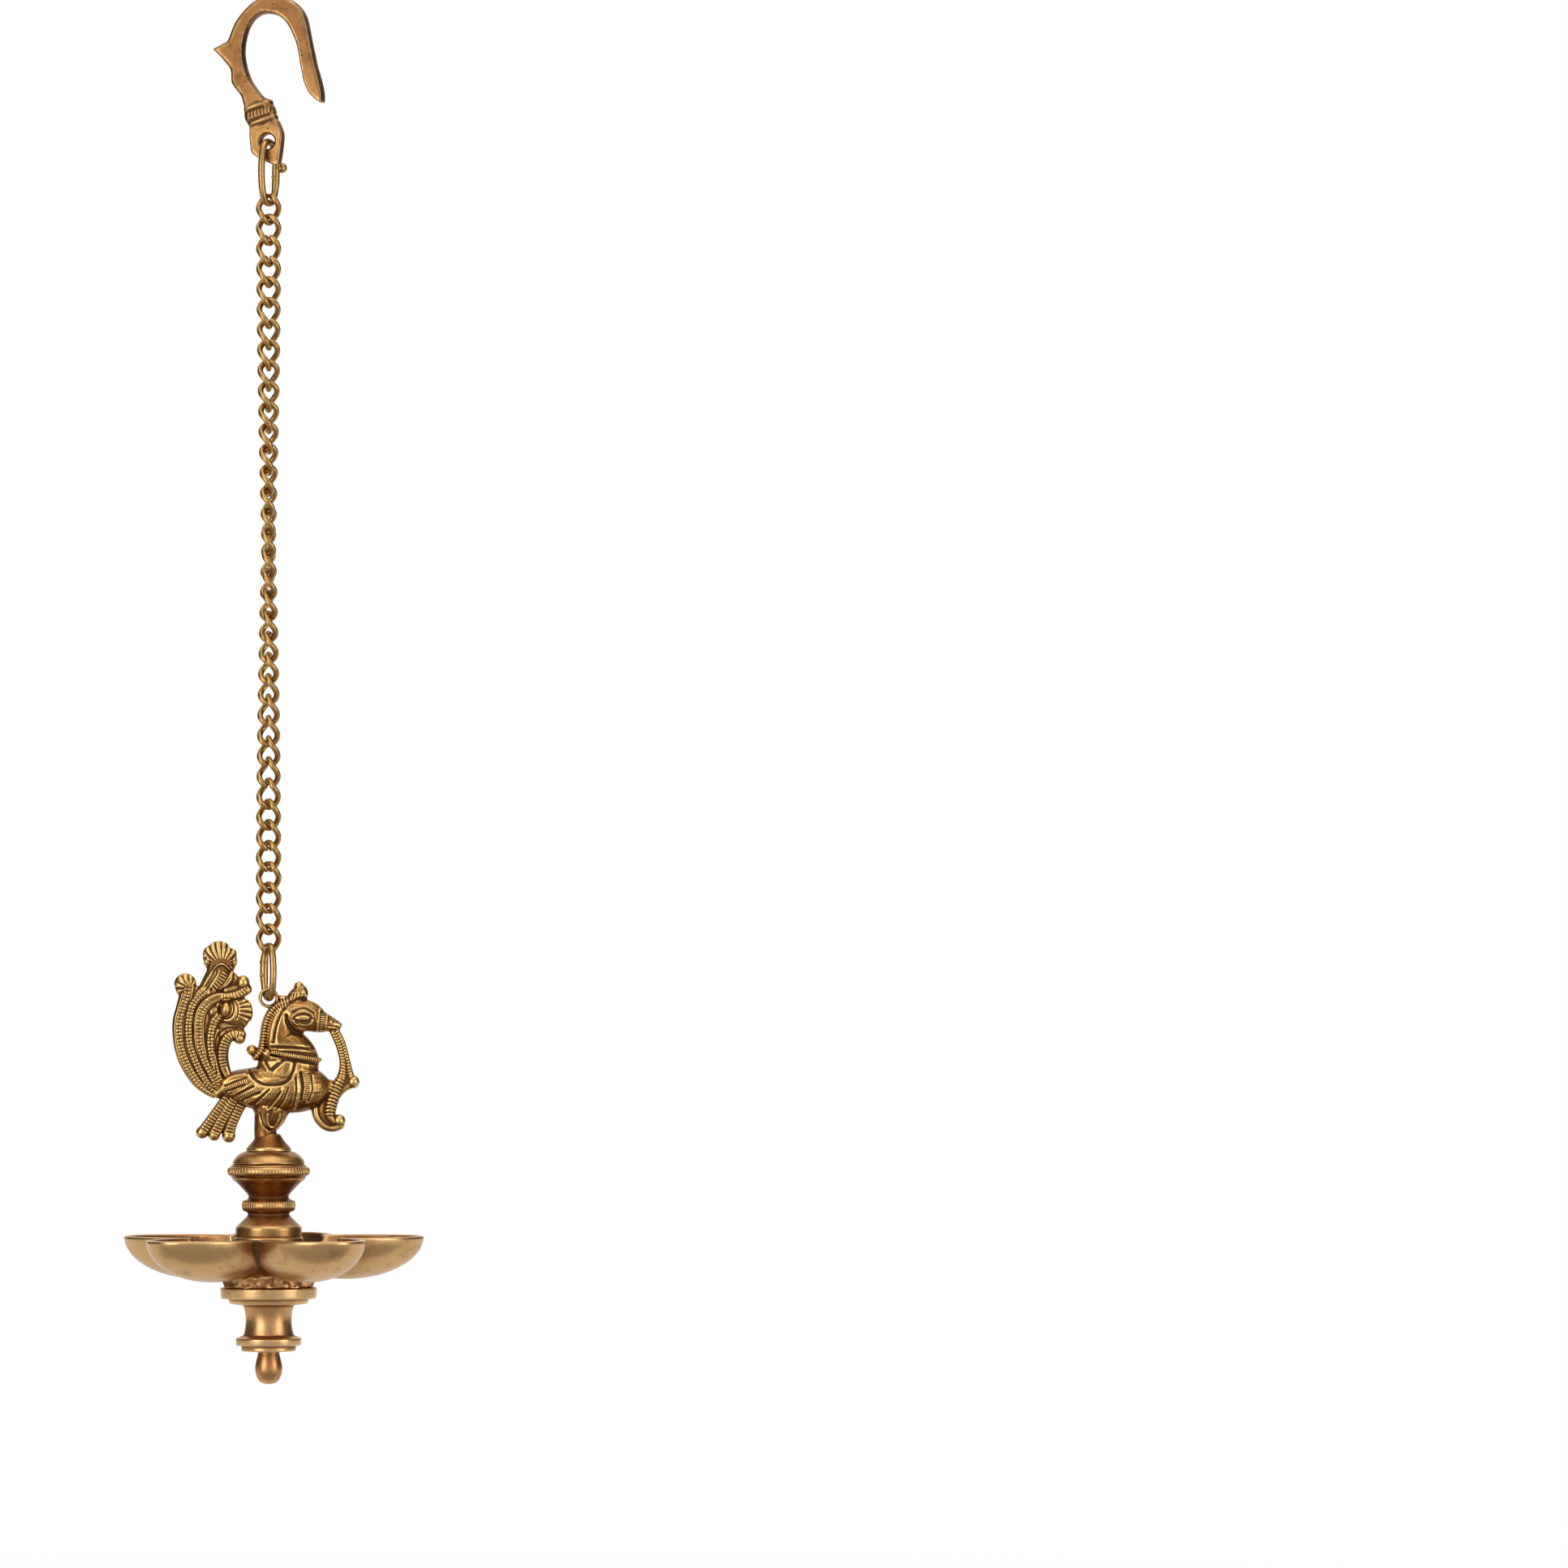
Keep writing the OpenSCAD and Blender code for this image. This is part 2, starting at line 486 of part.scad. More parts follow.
// Drop-shaped finial, screwed up against the stem on the stud's lower end.
finial_profile = [
    [0, 1], [0.81, 1], [0.79, 0.94], [0.86, 0.8], [0.97, 0.62], [1, 0.48], [0.97, 0.34], [0.86, 0.2],
    [0.66, 0.08], [0.4, 0.02], [0, 0]
];

module finial() color(lamp_colour) translate([0, 0, tip_z]) difference() {
    rotate_extrude() polygon([for (p = finial_profile) [p[0] * finial_radius, p[1] * finial_height]]);
    translate([0, 0, finial_height - stud_bite - 0.5]) stud_hole(stud_bite + 1.5);
}

// Inner stud from the bird's foot to the finial.
module stud() color(wire_colour) translate([0, 0, stem_z - stud_bite])
    cylinder(r = stud_radius, h = foot_z - stem_z + 2 * stud_bite);

hook();
upper_ring();
link(1);  // link_01
link(2);  // link_02
link(3);  // link_03
link(4);  // link_04
link(5);  // link_05
link(6);  // link_06
link(7);  // link_07
link(8);  // link_08
link(9);  // link_09
link(10);  // link_10
link(11);  // link_11
link(12);  // link_12
link(13);  // link_13
link(14);  // link_14
link(15);  // link_15
link(16);  // link_16
link(17);  // link_17
link(18);  // link_18
link(19);  // link_19
link(20);  // link_20
link(21);  // link_21
link(22);  // link_22
link(23);  // link_23
link(24);  // link_24
link(25);  // link_25
link(26);  // link_26
link(27);  // link_27
link(28);  // link_28
link(29);  // link_29
link(30);  // link_30
link(31);  // link_31
link(32);  // link_32
link(33);  // link_33
link(34);  // link_34
link(35);  // link_35
link(36);  // link_36
lower_ring();
bird();
pedestal();
dish();
stem();
finial();
stud();
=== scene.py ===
import math

import bmesh
import bpy
import numpy as np
from mathutils import Matrix, Vector, noise
from mathutils.bvhtree import BVHTree


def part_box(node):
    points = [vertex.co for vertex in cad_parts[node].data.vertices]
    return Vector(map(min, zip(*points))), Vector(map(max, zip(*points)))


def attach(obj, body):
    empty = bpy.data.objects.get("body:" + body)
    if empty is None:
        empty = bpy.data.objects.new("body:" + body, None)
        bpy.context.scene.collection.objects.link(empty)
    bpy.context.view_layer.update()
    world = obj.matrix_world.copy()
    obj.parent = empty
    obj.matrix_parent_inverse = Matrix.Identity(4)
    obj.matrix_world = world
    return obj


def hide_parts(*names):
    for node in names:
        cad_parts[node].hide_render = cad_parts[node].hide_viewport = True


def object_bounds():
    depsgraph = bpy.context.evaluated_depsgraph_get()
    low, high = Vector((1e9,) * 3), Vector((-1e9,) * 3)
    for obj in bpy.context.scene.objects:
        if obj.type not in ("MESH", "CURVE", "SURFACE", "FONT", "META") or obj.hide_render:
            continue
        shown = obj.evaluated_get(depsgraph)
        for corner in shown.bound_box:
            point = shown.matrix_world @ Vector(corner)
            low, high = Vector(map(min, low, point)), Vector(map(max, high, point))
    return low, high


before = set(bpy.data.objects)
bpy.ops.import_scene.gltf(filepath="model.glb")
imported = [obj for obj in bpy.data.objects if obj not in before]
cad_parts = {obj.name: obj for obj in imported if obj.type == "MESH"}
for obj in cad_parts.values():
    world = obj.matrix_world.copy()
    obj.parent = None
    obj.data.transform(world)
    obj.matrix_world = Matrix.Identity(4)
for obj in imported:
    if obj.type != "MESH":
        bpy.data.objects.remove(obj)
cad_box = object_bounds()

MM = 0.001


# Hook: a flat casting of copper-toned brass with filed edges, an arch to hang by, a spur, a ribbed
# collar and a drilled eye plate. It is the fixed piece of the lamp, and the chain's upper ring
# passes through its eye. Its forms are given in mm from the inside top of the arch.
class Sock:
    """A socket of a node tree. Sums on it add Math nodes, and make() adds any other node."""

    def __init__(self, tree, socket=None):
        self.tree = tree
        self.socket = socket

    def plug(self, node, inputs):
        """Sets inputs of a node, to plain values or to other sockets."""
        for key, value in inputs.items():
            if isinstance(value, Sock):
                self.tree.links.new(value.socket, node.inputs[key])
            else:
                node.inputs[key].default_value = value

    def make(self, kind, inputs=None, settings=None, out=0):
        node = self.tree.nodes.new(kind)
        for name, value in (settings or {}).items():
            setattr(node, name, value)
        self.plug(node, inputs or {})
        return Sock(self.tree, node.outputs[out])

    def geo(self, kind, inputs=None):
        return self.make("GeometryNode" + kind, inputs)

    def math(self, operation, *values):
        return self.make("ShaderNodeMath", dict(enumerate(values)), {"operation": operation})

    def __add__(self, other):
        return self.math("ADD", self, other)

    def __sub__(self, other):
        return self.math("SUBTRACT", self, other)

    def __rsub__(self, other):
        return self.math("SUBTRACT", other, self)

    def __mul__(self, other):
        return self.math("MULTIPLY", self, other)

    __radd__ = __add__
    __rmul__ = __mul__

    def step(self, low, high):
        """0 below low, 1 above high, smooth between them."""
        ends = {"Value": self, "From Min": low, "From Max": high}
        return self.make("ShaderNodeMapRange", ends, {"interpolation_type": "SMOOTHSTEP"})

    def tint(self, colour, over):
        """Lays a colour over another one, as thick as this socket says."""
        return self.make("ShaderNodeMix", {0: self, 6: over, 7: colour}, {"data_type": "RGBA"}, 2)


def colour(code):
    """A colour written as six hex digits, in linear light."""
    parts = [int(code[i:i + 2], 16) / 255 for i in (0, 2, 4)]
    return [*(p / 12.92 if p < 0.04 else ((p + 0.055) / 1.055) ** 2.4 for p in parts), 1.0]


def blank(name):
    """A new material, and the start of its node tree."""
    material = bpy.data.materials.new(name)
    material.use_nodes = True
    return material, Sock(material.node_tree)


def brass(name, body, blush_and_top_shade, worn, dark, rough, mottle, patina, pits):
    """Antique brass: mottled metal, bright on worn edges, brown in the recesses, with casting pits
    and grain, and painted shade where a piece stores it. mottle is the scale of its clouds, patina
    and pits are strengths."""
    dust_scale, pore_scale, pore_patches = 2600, 420, 95
    bump_strength, bump_depth = 0.35, 0.22 * MM
    material, start = blank(name)
    place = start.make("ShaderNodeTexCoord", out=3)

    def cloud(scale, detail=4.0, roughness=0.55):
        return start.make("ShaderNodeTexNoise", {
            "Vector": place, "Scale": scale, "Detail": detail, "Roughness": roughness})

    def stored(layer):
        return start.make("ShaderNodeAttribute", None, {"attribute_name": layer}, 2)

    broad = cloud(mottle)
    fine = cloud(mottle * 9)
    dust = cloud(dust_scale, detail=2.0)
    recess = stored("recess")
    hollow = (recess + 0.16 * (fine - 0.5)).step(0.54, 0.78)
    edge = (1 - recess + 0.2 * (fine - 0.5)).step(0.56, 0.8)
    pores = start.make("ShaderNodeTexVoronoi", {
        "Vector": place, "Scale": pore_scale, "Randomness": 1.0})
    pit = (1 - pores.step(0.07, 0.19)) * cloud(pore_patches).step(0.47, 0.62) * pits
    stain = cloud(mottle * 2.3, detail=6.0, roughness=0.65).step(0.54, 0.72)

    # The blush colour comes from the broad clouds, and also as painted shade where a piece stores a
    # shade value by height, which darkens the hook towards its top.
    tone = (broad.step(0.35, 0.65) * 0.8 + stored("painted_top_shade")).tint(colour(blush_and_top_shade), over=colour(body))
    tone = (edge * 0.75).tint(colour(worn), over=tone)
    for layer in (stain * 0.3, hollow * patina, pit * 0.9):
        tone = layer.tint(colour(dark), over=tone)
    height = fine * 0.5 + dust * 0.15 + broad * 0.8 - pit * 1.6
    start.plug(start.tree.nodes["Principled BSDF"], {
        "Base Color": tone,
        "Metallic": 1 - 0.35 * hollow * patina - 0.4 * pit,
        "Roughness": rough + 0.16 * (fine - 0.5) + 0.1 * stain + 0.24 * hollow - 0.07 * edge,
        "Normal": start.make("ShaderNodeBump", {
            "Strength": bump_strength, "Distance": bump_depth, "Height": height})})
    return material


def coat(piece, material):
    """Gives a piece its one material and a smooth skin."""
    piece.data.materials.clear()
    piece.data.materials.append(material)
    piece.data.shade_smooth()


def link(name, data=None):
    """Puts a new object in the scene, with an empty mesh if it is given no data."""
    piece = bpy.data.objects.new(name, data or bpy.data.meshes.new(name))
    bpy.context.scene.collection.objects.link(piece)
    return piece


def flatten(piece):
    """The piece's modifiers made into plain mesh."""
    evaluated = piece.evaluated_get(bpy.context.evaluated_depsgraph_get())
    mesh = bpy.data.meshes.new_from_object(evaluated)
    piece.modifiers.clear()
    piece.data = mesh
    return piece


def rows_of(items, field):
    rows = np.empty(len(items) * 3, np.float32)
    items.foreach_get(field, rows)
    return rows.reshape(-1, 3).astype(float)


def points(mesh):
    return rows_of(mesh.vertices, "co")


def normals(mesh):
    return rows_of(mesh.vertex_normals, "vector")


def set_points(mesh, co):
    mesh.vertices.foreach_set("co", co.astype(np.float32).ravel())
    mesh.update()


def store(mesh, layer, values):
    """Keeps a value from 0 to 1 at each point, for the material to read."""
    kept = mesh.attributes.new(layer, "FLOAT", "POINT")
    kept.data.foreach_set("value", np.clip(values, 0, 1).astype(np.float32))


def relaxed(mesh, co, rounds, pull=0.5):
    """Points drawn towards the middle of their neighbours."""
    pairs = np.empty(len(mesh.edges) * 2, np.int32)
    mesh.edges.foreach_get("vertices", pairs)
    a, b = pairs.reshape(-1, 2).T
    n = len(co)
    count = np.bincount(a, minlength=n) + np.bincount(b, minlength=n)
    for _ in range(rounds):
        total = np.stack([np.bincount(a, co[b, k], n) + np.bincount(b, co[a, k], n)
                          for k in range(3)], 1)
        co = co + pull * (total / count[:, None] - co)
    return co


def mark_recesses(mesh, spans):
    """Stores how hollow the surface is at each point: above 0.5 in a recess, below it on an edge.
    Spans are pairs of smoothing rounds and the depth in mm that counts as a full recess."""
    co = points(mesh)
    out = normals(mesh)
    hollow = np.zeros(len(co))
    for rounds, depth in spans:
        hollow += np.einsum("ij,ij->i", relaxed(mesh, co, rounds) - co, out) / (depth * MM)
    store(mesh, "recess", 0.5 + 0.5 * hollow)


def full_turn(steps):
    """Angles once round, without the first one again."""
    return np.linspace(0, 2 * math.pi, steps, endpoint=False)


def skin(rings, sides, closed=False):
    """Faces over rings of points. They go on to the first ring again, or both ends are capped."""
    faces = [(i * sides + j, i * sides + (j + 1) % sides,
              (i + 1) % rings * sides + (j + 1) % sides, (i + 1) % rings * sides + j)
             for i in range(rings if closed else rings - 1) for j in range(sides)]
    if not closed:
        faces += [tuple(range(sides))[::-1], tuple(range((rings - 1) * sides, rings * sides))]
    return faces


def merged(forms):
    """All forms as one list of points and one of faces."""
    verts, faces = [], []
    for form_verts, form_faces in forms:
        faces += [[i + len(verts) for i in face] for face in form_faces]
        verts += [tuple(v) for v in form_verts]
    return verts, faces


def form_mesh(name, forms, height=0.0):
    """All forms, given in mm, in one mesh at that height, with their faces turned outwards."""
    verts, faces = merged(forms)
    mesh = bpy.data.meshes.new(name)
    mesh.from_pydata([(x * MM, y * MM, z * MM + height) for x, y, z in verts], [], faces)
    shell = bmesh.new()
    shell.from_mesh(mesh)
    bmesh.ops.recalc_face_normals(shell, faces=shell.faces)
    shell.to_mesh(mesh)
    shell.free()
    return mesh


def cast(name, forms, voxel, rounds, height=0.0):
    """Overlapping closed forms run together into one softened skin, as in a casting."""
    piece = link(name, form_mesh(name, forms, height))
    remesh = piece.modifiers.new("skin", "REMESH")
    remesh.mode = "VOXEL"
    remesh.voxel_size = voxel * MM
    flatten(piece)
    set_points(piece.data, relaxed(piece.data, points(piece.data), rounds))
    return piece


def smooth_line(stations, steps=8):
    """A smooth curve through the stations that carries all their values along."""
    s = np.array(stations, float)
    ends = np.vstack([s[:1], s, s[-1:]])
    t = np.linspace(0, 1, steps, endpoint=False)[:, None]
    rows = [0.5 * (2 * b + (c - a) * t + (2 * a - 5 * b + 4 * c - d) * t ** 2
                   + (3 * b - a - 3 * c + d) * t ** 3)
            for a, b, c, d in zip(ends, ends[1:], ends[2:], ends[3:])]
    return np.vstack(rows + [s[-1:]])


def limb(stations, sides=22, lift=None, square=1.0):
    """A cast limb along a line with round ends. Stations are x, z, half width and half thickness.
    lift gives its distance off the middle plane. The section is oval, or flat-faced where square
    is below 1."""
    s = smooth_line(stations)
    way = np.gradient(s[:, :2], axis=0)
    way /= np.linalg.norm(way, axis=1)[:, None]
    off = np.zeros(len(s)) if lift is None else np.array([lift(x, z) for x, z in s[:, :2]])
    rings = [(x, z, a, b, t, y) for (x, z, a, b), t, y in zip(s[:, :4], way, off)]
    first, last = rings[0], rings[-1]
    end_bends = np.radians((25, 48, 68, 82))
    for bend in end_bends:
        for (x, z, a, b, t, y), sign in ((first, -1), (last, 1)):
            reach, shrink = sign * min(a, b) * math.sin(bend), math.cos(bend)
            ring = (x + t[0] * reach, z + t[1] * reach, a * shrink, b * shrink, t, y)
            rings = [ring] + rings if sign < 0 else rings + [ring]
    angle = full_turn(sides)
    section = [np.sign(w) * np.abs(w) ** square for w in (np.cos(angle), np.sin(angle))]
    verts = [(x - t[1] * a * c, y + b * v, z + t[0] * a * c)
             for x, z, a, b, t, y in rings for c, v in zip(*section)]
    return np.array(verts), skin(len(rings), sides)


def plate_with_eye(outline, drop, radius, flare, plate, bevel, sides=144):
    """A plate round an eye: an outline about the eye's centre, a hole flared on both faces, and
    bevelled edges."""
    corners = np.array(outline, float)
    cut_rounds, cut = 3, 0.14
    for _ in range(cut_rounds):
        after = np.roll(corners, -1, axis=0)
        cuts = [(1 - cut) * corners + cut * after, cut * corners + (1 - cut) * after]
        corners = np.stack(cuts, 1).reshape(-1, 2)
    after = np.roll(corners, -1, axis=0)
    rows = []
    for q in full_turn(sides):
        way = np.array([math.cos(q), math.sin(q)])
        across = corners @ (-way[1], way[0]), after @ (-way[1], way[0])
        t = across[0] / np.where(across[0] == across[1], 1, across[0] - across[1])
        reach = (corners + t[:, None] * (after - corners)) @ way
        r = reach[(t >= 0) & (t < 1) & (reach > 0)].max()
        front = [(radius, flare - plate), (radius + flare, -plate), (r - bevel, -plate),
                 (r, bevel - plate)]
        for far, y in front + [(far, -y) for far, y in front[::-1]]:
            rows.append((far * way[0], y, far * way[1] - drop))
    return np.array(rows), skin(sides, 8, closed=True)


def bevelled_plate(outline, thick, levels):
    """A plate cut to an outline of x, z and the share of bevel there. Levels are insets and shares
    of half thickness."""
    line = smooth_line(outline, 4)
    way = np.roll(line[:, :2], -1, axis=0) - np.roll(line[:, :2], 1, axis=0)
    way /= np.linalg.norm(way, axis=1)[:, None]
    inward = np.stack([way[:, 1], -way[:, 0]], 1) * line[:, 2:]
    verts = [(x, share * thick, z)
             for inset, share in levels for x, z in line[:, :2] + inward * inset]
    return np.array(verts), skin(len(levels), len(line))


def fade(values, over):
    """0 at and below zero, 1 from a distance on."""
    return np.clip(values / over, 0, 1)


def uneven(co, broad, fine, share):
    """Noise at each point of two sizes in mm, the finer one by that share."""
    return np.array([noise.noise(Vector(p) / (broad * MM))
                     + share * noise.noise(Vector(p) / (fine * MM)) for p in co])


hook_voxel = 0.26
hook_half = 3.1
hook_yaw = -18
collar_top = -35
filing_rounds = 16
wave_depth = 0.3
# How far below the top of the arch the painted shade reaches, in mm.
painted_top_shade_depth = 34
rib_count = 7
rib_lift = 2.9
rib_start, rib_step = (-7.2, -40.7), (1.38, 0.4)
rib_half = (0.52, 1)
rib_lean = 0.1
hook_outline = [
    (-9.2, -38, 1), (-10.7, -32.9, 1), (-12.9, -30.1, 1), (-14.9, -26.9, 1), (-15, -22.6, 1),
    (-16.4, -20.2, 0.9), (-19.2, -17, 0.6), (-22.3, -13.9, 0.25), (-22.4, -13.4, 0.25),
    (-19.6, -12.1, 0.6), (-16.6, -10.6, 0.9), (-15.6, -9, 1), (-14.3, -5.4, 1), (-12.8, -2.5, 1),
    (-10, 1, 1), (-5.8, 4.8, 1), (0, 7, 1), (5.2, 6.8, 1), (9.8, 5, 1), (13, 2.6, 1),
    (15.2, -0.6, 1), (16.7, -5, 1), (18.1, -12, 1), (20, -21, 1), (21.8, -28, 1),
    (22.6, -31.8, 0.7), (22.6, -35, 0.3), (22, -35.8, 0.3), (19.8, -34.7, 0.7), (16.8, -31.8, 1),
    (14.7, -27.2, 1), (14.1, -24, 1), (13.4, -20.6, 1), (12.7, -16, 1), (11.6, -11.6, 1),
    (9.6, -6.9, 1), (7, -3.1, 1), (3.7, -0.8, 1), (0, -0.1, 1), (-3.6, -0.9, 1), (-6.8, -3.7, 1),
    (-9, -8.4, 1), (-9.9, -13.2, 1), (-9.7, -17.4, 1), (-8.6, -22, 1), (-6.5, -26.7, 1),
    (-3.6, -30.9, 1), (-0.4, -34.6, 1), (1.6, -38, 1)]
hook_edge = [(0, 0.3), (0.1, 0.6), (0.4, 0.82), (0.9, 0.96), (1.5, 1)]
hook_levels = [(inset, -share) for inset, share in hook_edge[::-1]] + hook_edge
hook_core = [
    (-4.4, -36, 5.2, 2.8), (-3.4, -39.4, 6.2, 3), (-2.2, -43, 5.7, 2.9), (-1.6, -45, 5.7, 2.7)]
hook_bands = [
    [(-8.3, -37.7, 1.6, 3.2), (-4.2, -36.4, 1.9, 3.7), (0, -35.2, 1.6, 3.2)],
    [(-6.3, -43.5, 1.5, 3.3), (-1.9, -42.3, 1.9, 3.9), (2.3, -41.1, 1.5, 3.3)]]
eye_outline = [
    (-7.4, 6.6), (-7.4, 2), (-6.6, -4.3), (-3, -7), (4.1, -10), (4.9, -8), (6.4, 3.5), (3.9, 9.2),
    (-7.2, 8.8)]
hook_forms = [bevelled_plate(hook_outline, hook_half, hook_levels)]
hook_forms.append(limb(hook_core, sides=40, square=0.5))
hook_forms += [limb(band, sides=28) for band in hook_bands]
for i in range(rib_count):
    x, z = (first + i * step for first, step in zip(rib_start, rib_step))
    rib = [(x + rib_lean, z - 1, *rib_half), (x - rib_lean, z + 1, *rib_half)]
    for lift in (-rib_lift, rib_lift):
        hook_forms.append(limb(rib, sides=12, lift=lambda x, z: lift))
hook_forms.append(
    plate_with_eye(eye_outline, drop=50.6, radius=2.9, flare=0.8, plate=2.5, bevel=0.5))
hook_turn = np.array(Matrix.Rotation(math.radians(hook_yaw), 3, "Z"))
hook_forms = [(verts @ hook_turn.T, faces) for verts, faces in hook_forms]
hook = cast("cast_hook", hook_forms, hook_voxel, 5)
co = points(hook.data)
heights = co[:, 2] / MM
filed = fade(heights - collar_top, 3)[:, None]
set_points(hook.data, relaxed(hook.data, co, filing_rounds) * filed + co * (1 - filed))
co = points(hook.data)
waves = wave_depth * MM * uneven(co, broad=11, fine=4, share=0.4)
set_points(hook.data, co + normals(hook.data) * waves[:, None])
mark_recesses(hook.data, [(24, 0.26), (90, 0.9)])
# Painted shade: this stored value is 1 at the top of the arch and falls to 0 at 34 mm below it. The
# brass lays its blush colour on thicker there, so the hook is darker towards its top.
store(hook.data, "painted_top_shade", (heights + painted_top_shade_depth) / painted_top_shade_depth)
coat(hook, brass("hook_brass", "986E42", "7E5632", "B89060", "3A2412",
                 rough=0.4, mottle=55, patina=0.8, pits=0.9))
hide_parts("hook")
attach(hook, "hook")


# Rings: two ovals of thick drawn wire, closed by brazing after they were threaded. The upper one
# joins the hook to the chain and has a ball of braze beside its joint. The lower one joins the
# chain to the bird's loop.
ring_wire = 2.65 * MM
ring_bend = 0.7
ring_steps = 112
wire_sides = 16
braze_grain = 900.0
braze_lumps = 1.6
wire_brass = brass("wire_brass", "A06C36", "7E5228", "BE985C", "2C190A",
                   rough=0.38, mottle=110, patina=0.85, pits=0.35)


def tree_with(name, **kinds):
    """A geometry tree with named inputs, listed by the type of their sockets, and the sockets."""
    tree = bpy.data.node_groups.new(name, "GeometryNodeTree")
    for kind, labels in kinds.items():
        for label in labels:
            tree.interface.new_socket(label, in_out="INPUT", socket_type="NodeSocket" + kind)
    tree.interface.new_socket("Geometry", in_out="OUTPUT", socket_type="NodeSocketGeometry")
    source = tree.nodes.new("NodeGroupInput")
    read = {label: Sock(tree, source.outputs[label]) for row in kinds.values() for label in row}
    return tree, read, Sock(tree)


def close_tree(tree, parts, material):
    """Ends a tree: parts joined, instances made mesh, shaded smooth, with the material set."""
    both = parts[0].geo("JoinGeometry", {"Geometry": parts[0]})
    for part in parts[1:]:
        tree.links.new(part.socket, both.socket.node.inputs[0])
    whole = both.geo("RealizeInstances", {"Geometry": both})
    smooth = whole.geo("SetShadeSmooth", {"Geometry": whole})
    done = smooth.geo("SetMaterial", {"Geometry": smooth, "Material": material})
    done.plug(tree.nodes.new("NodeGroupOutput"), {0: done})


def grow(piece, tree, values):
    """Runs a geometry tree on a piece with these values, and keeps the result as plain mesh."""
    grown = piece.modifiers.new("grown", "NODES")
    grown.node_group = tree
    for item in tree.interface.items_tree:
        if item.in_out == "INPUT" and item.name in values:
            grown[item.identifier] = values[item.name]
    return flatten(piece)


def on_face(across, face, height):
    """A place at that distance from the Z axis, in a plane turned by an angle, at a height."""
    return face.make("ShaderNodeCombineXYZ", {
        "X": across * face.math("COSINE", face), "Y": across * face.math("SINE", face),
        "Z": height})


ring_tree, ring_in, start = tree_with("brazed_ring", Float=[
    "Half Width", "Half Height", "Wire Radius", "Face", "Height", "Braze At", "Braze Swell",
    "Braze Length", "Ball Radius", "Ball Aside", "Ball At", "Crust From", "Crust To", "Crust Size"],
    Int=["Crust Count"])


def ring_place(turn):
    """The point of the ring's centre line at an angle."""
    side = turn.math("SINE", turn)
    bent = side.math("POWER", side.math("ABSOLUTE", side), ring_bend) * side.math("SIGN", side)
    height = turn.math("COSINE", turn) * ring_in["Half Height"] + ring_in["Height"]
    return on_face(bent * ring_in["Half Width"], ring_in["Face"], height)


def vector_math(operation, a, b):
    return a.make("ShaderNodeVectorMath", {0: a, "Scale" if operation == "SCALE" else 1: b},
                  {"operation": operation})


def between(low, high, seed):
    """A number drawn for each point."""
    return start.make("FunctionNodeRandomValue", {2: low, 3: high, "Seed": seed},
                      {"data_type": "FLOAT"}, 1)


turn = start.geo("InputIndex") * (2 * math.pi / ring_steps)
oval = start.geo("MeshCircle", {"Vertices": ring_steps})
oval = start.geo("SetPosition", {"Geometry": oval, "Position": ring_place(turn)})
away = turn - ring_in["Braze At"]
away = start.math("DIVIDE", away.math("ABSOLUTE", away), ring_in["Braze Length"])
swell = 1 + ring_in["Braze Swell"] * (1 - away.step(0.35, 1.0))
wire = start.geo("CurvePrimitiveCircle", {
    "Resolution": wire_sides, "Radius": ring_in["Wire Radius"]})
path = start.geo("MeshToCurve", {"Mesh": oval})
bar = start.geo("CurveToMesh", {"Curve": path, "Profile Curve": wire, "Scale": swell})
lump = start.make("ShaderNodeTexNoise", {"Scale": braze_grain, "Detail": 2.0}) - 0.5
push = vector_math("SCALE", start.geo("InputNormal"),
                   lump * (swell - 1) * ring_in["Wire Radius"] * braze_lumps)
bar = start.geo("SetPosition", {"Geometry": bar, "Offset": push})
ball = start.geo("MeshIcoSphere", {"Radius": ring_in["Ball Radius"], "Subdivisions": 4})
aside = start.make("ShaderNodeCombineXYZ", {"X": ring_in["Ball Aside"]})
ball = start.geo("Transform", {
    "Geometry": ball, "Translation": vector_math("ADD", ring_place(ring_in["Ball At"]), aside)})
crumb_turn = between(0.0, 1.0, seed=4) * (ring_in["Crust To"] - ring_in["Crust From"])
jitter = start.make("FunctionNodeRandomValue", {0: (-1, -1, -1), 1: (1, 1, 1), "Seed": 9},
                    {"data_type": "FLOAT_VECTOR"})
jitter = vector_math("SCALE", jitter, ring_in["Wire Radius"] * 0.75)
crust = start.geo("MeshLine", {"Count": ring_in["Crust Count"]})
crust = start.geo("SetPosition", {
    "Geometry": crust,
    "Position": vector_math("ADD", ring_place(ring_in["Crust From"] + crumb_turn), jitter)})
crumb = start.geo("MeshIcoSphere", {"Radius": ring_in["Crust Size"], "Subdivisions": 3})
crust = start.geo("InstanceOnPoints", {
    "Points": crust, "Instance": crumb, "Scale": between(0.5, 1.15, seed=2)})
close_tree(ring_tree, (bar, ball, crust), wire_brass)


def brazed_ring(name, node, width, height, face, values):
    """One ring of that outer size, in the place of its node, its plane turned by face degrees."""
    low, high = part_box(node)
    ring = grow(link(name), ring_tree, {
        "Half Width": (width * MM - ring_wire) / 2, "Half Height": (height * MM - ring_wire) / 2,
        "Wire Radius": ring_wire / 2, "Face": math.radians(face),
        "Height": (low.z + high.z) / 2, **values})
    mark_recesses(ring.data, [(4, 0.08)])
    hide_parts(node)
    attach(ring, node)


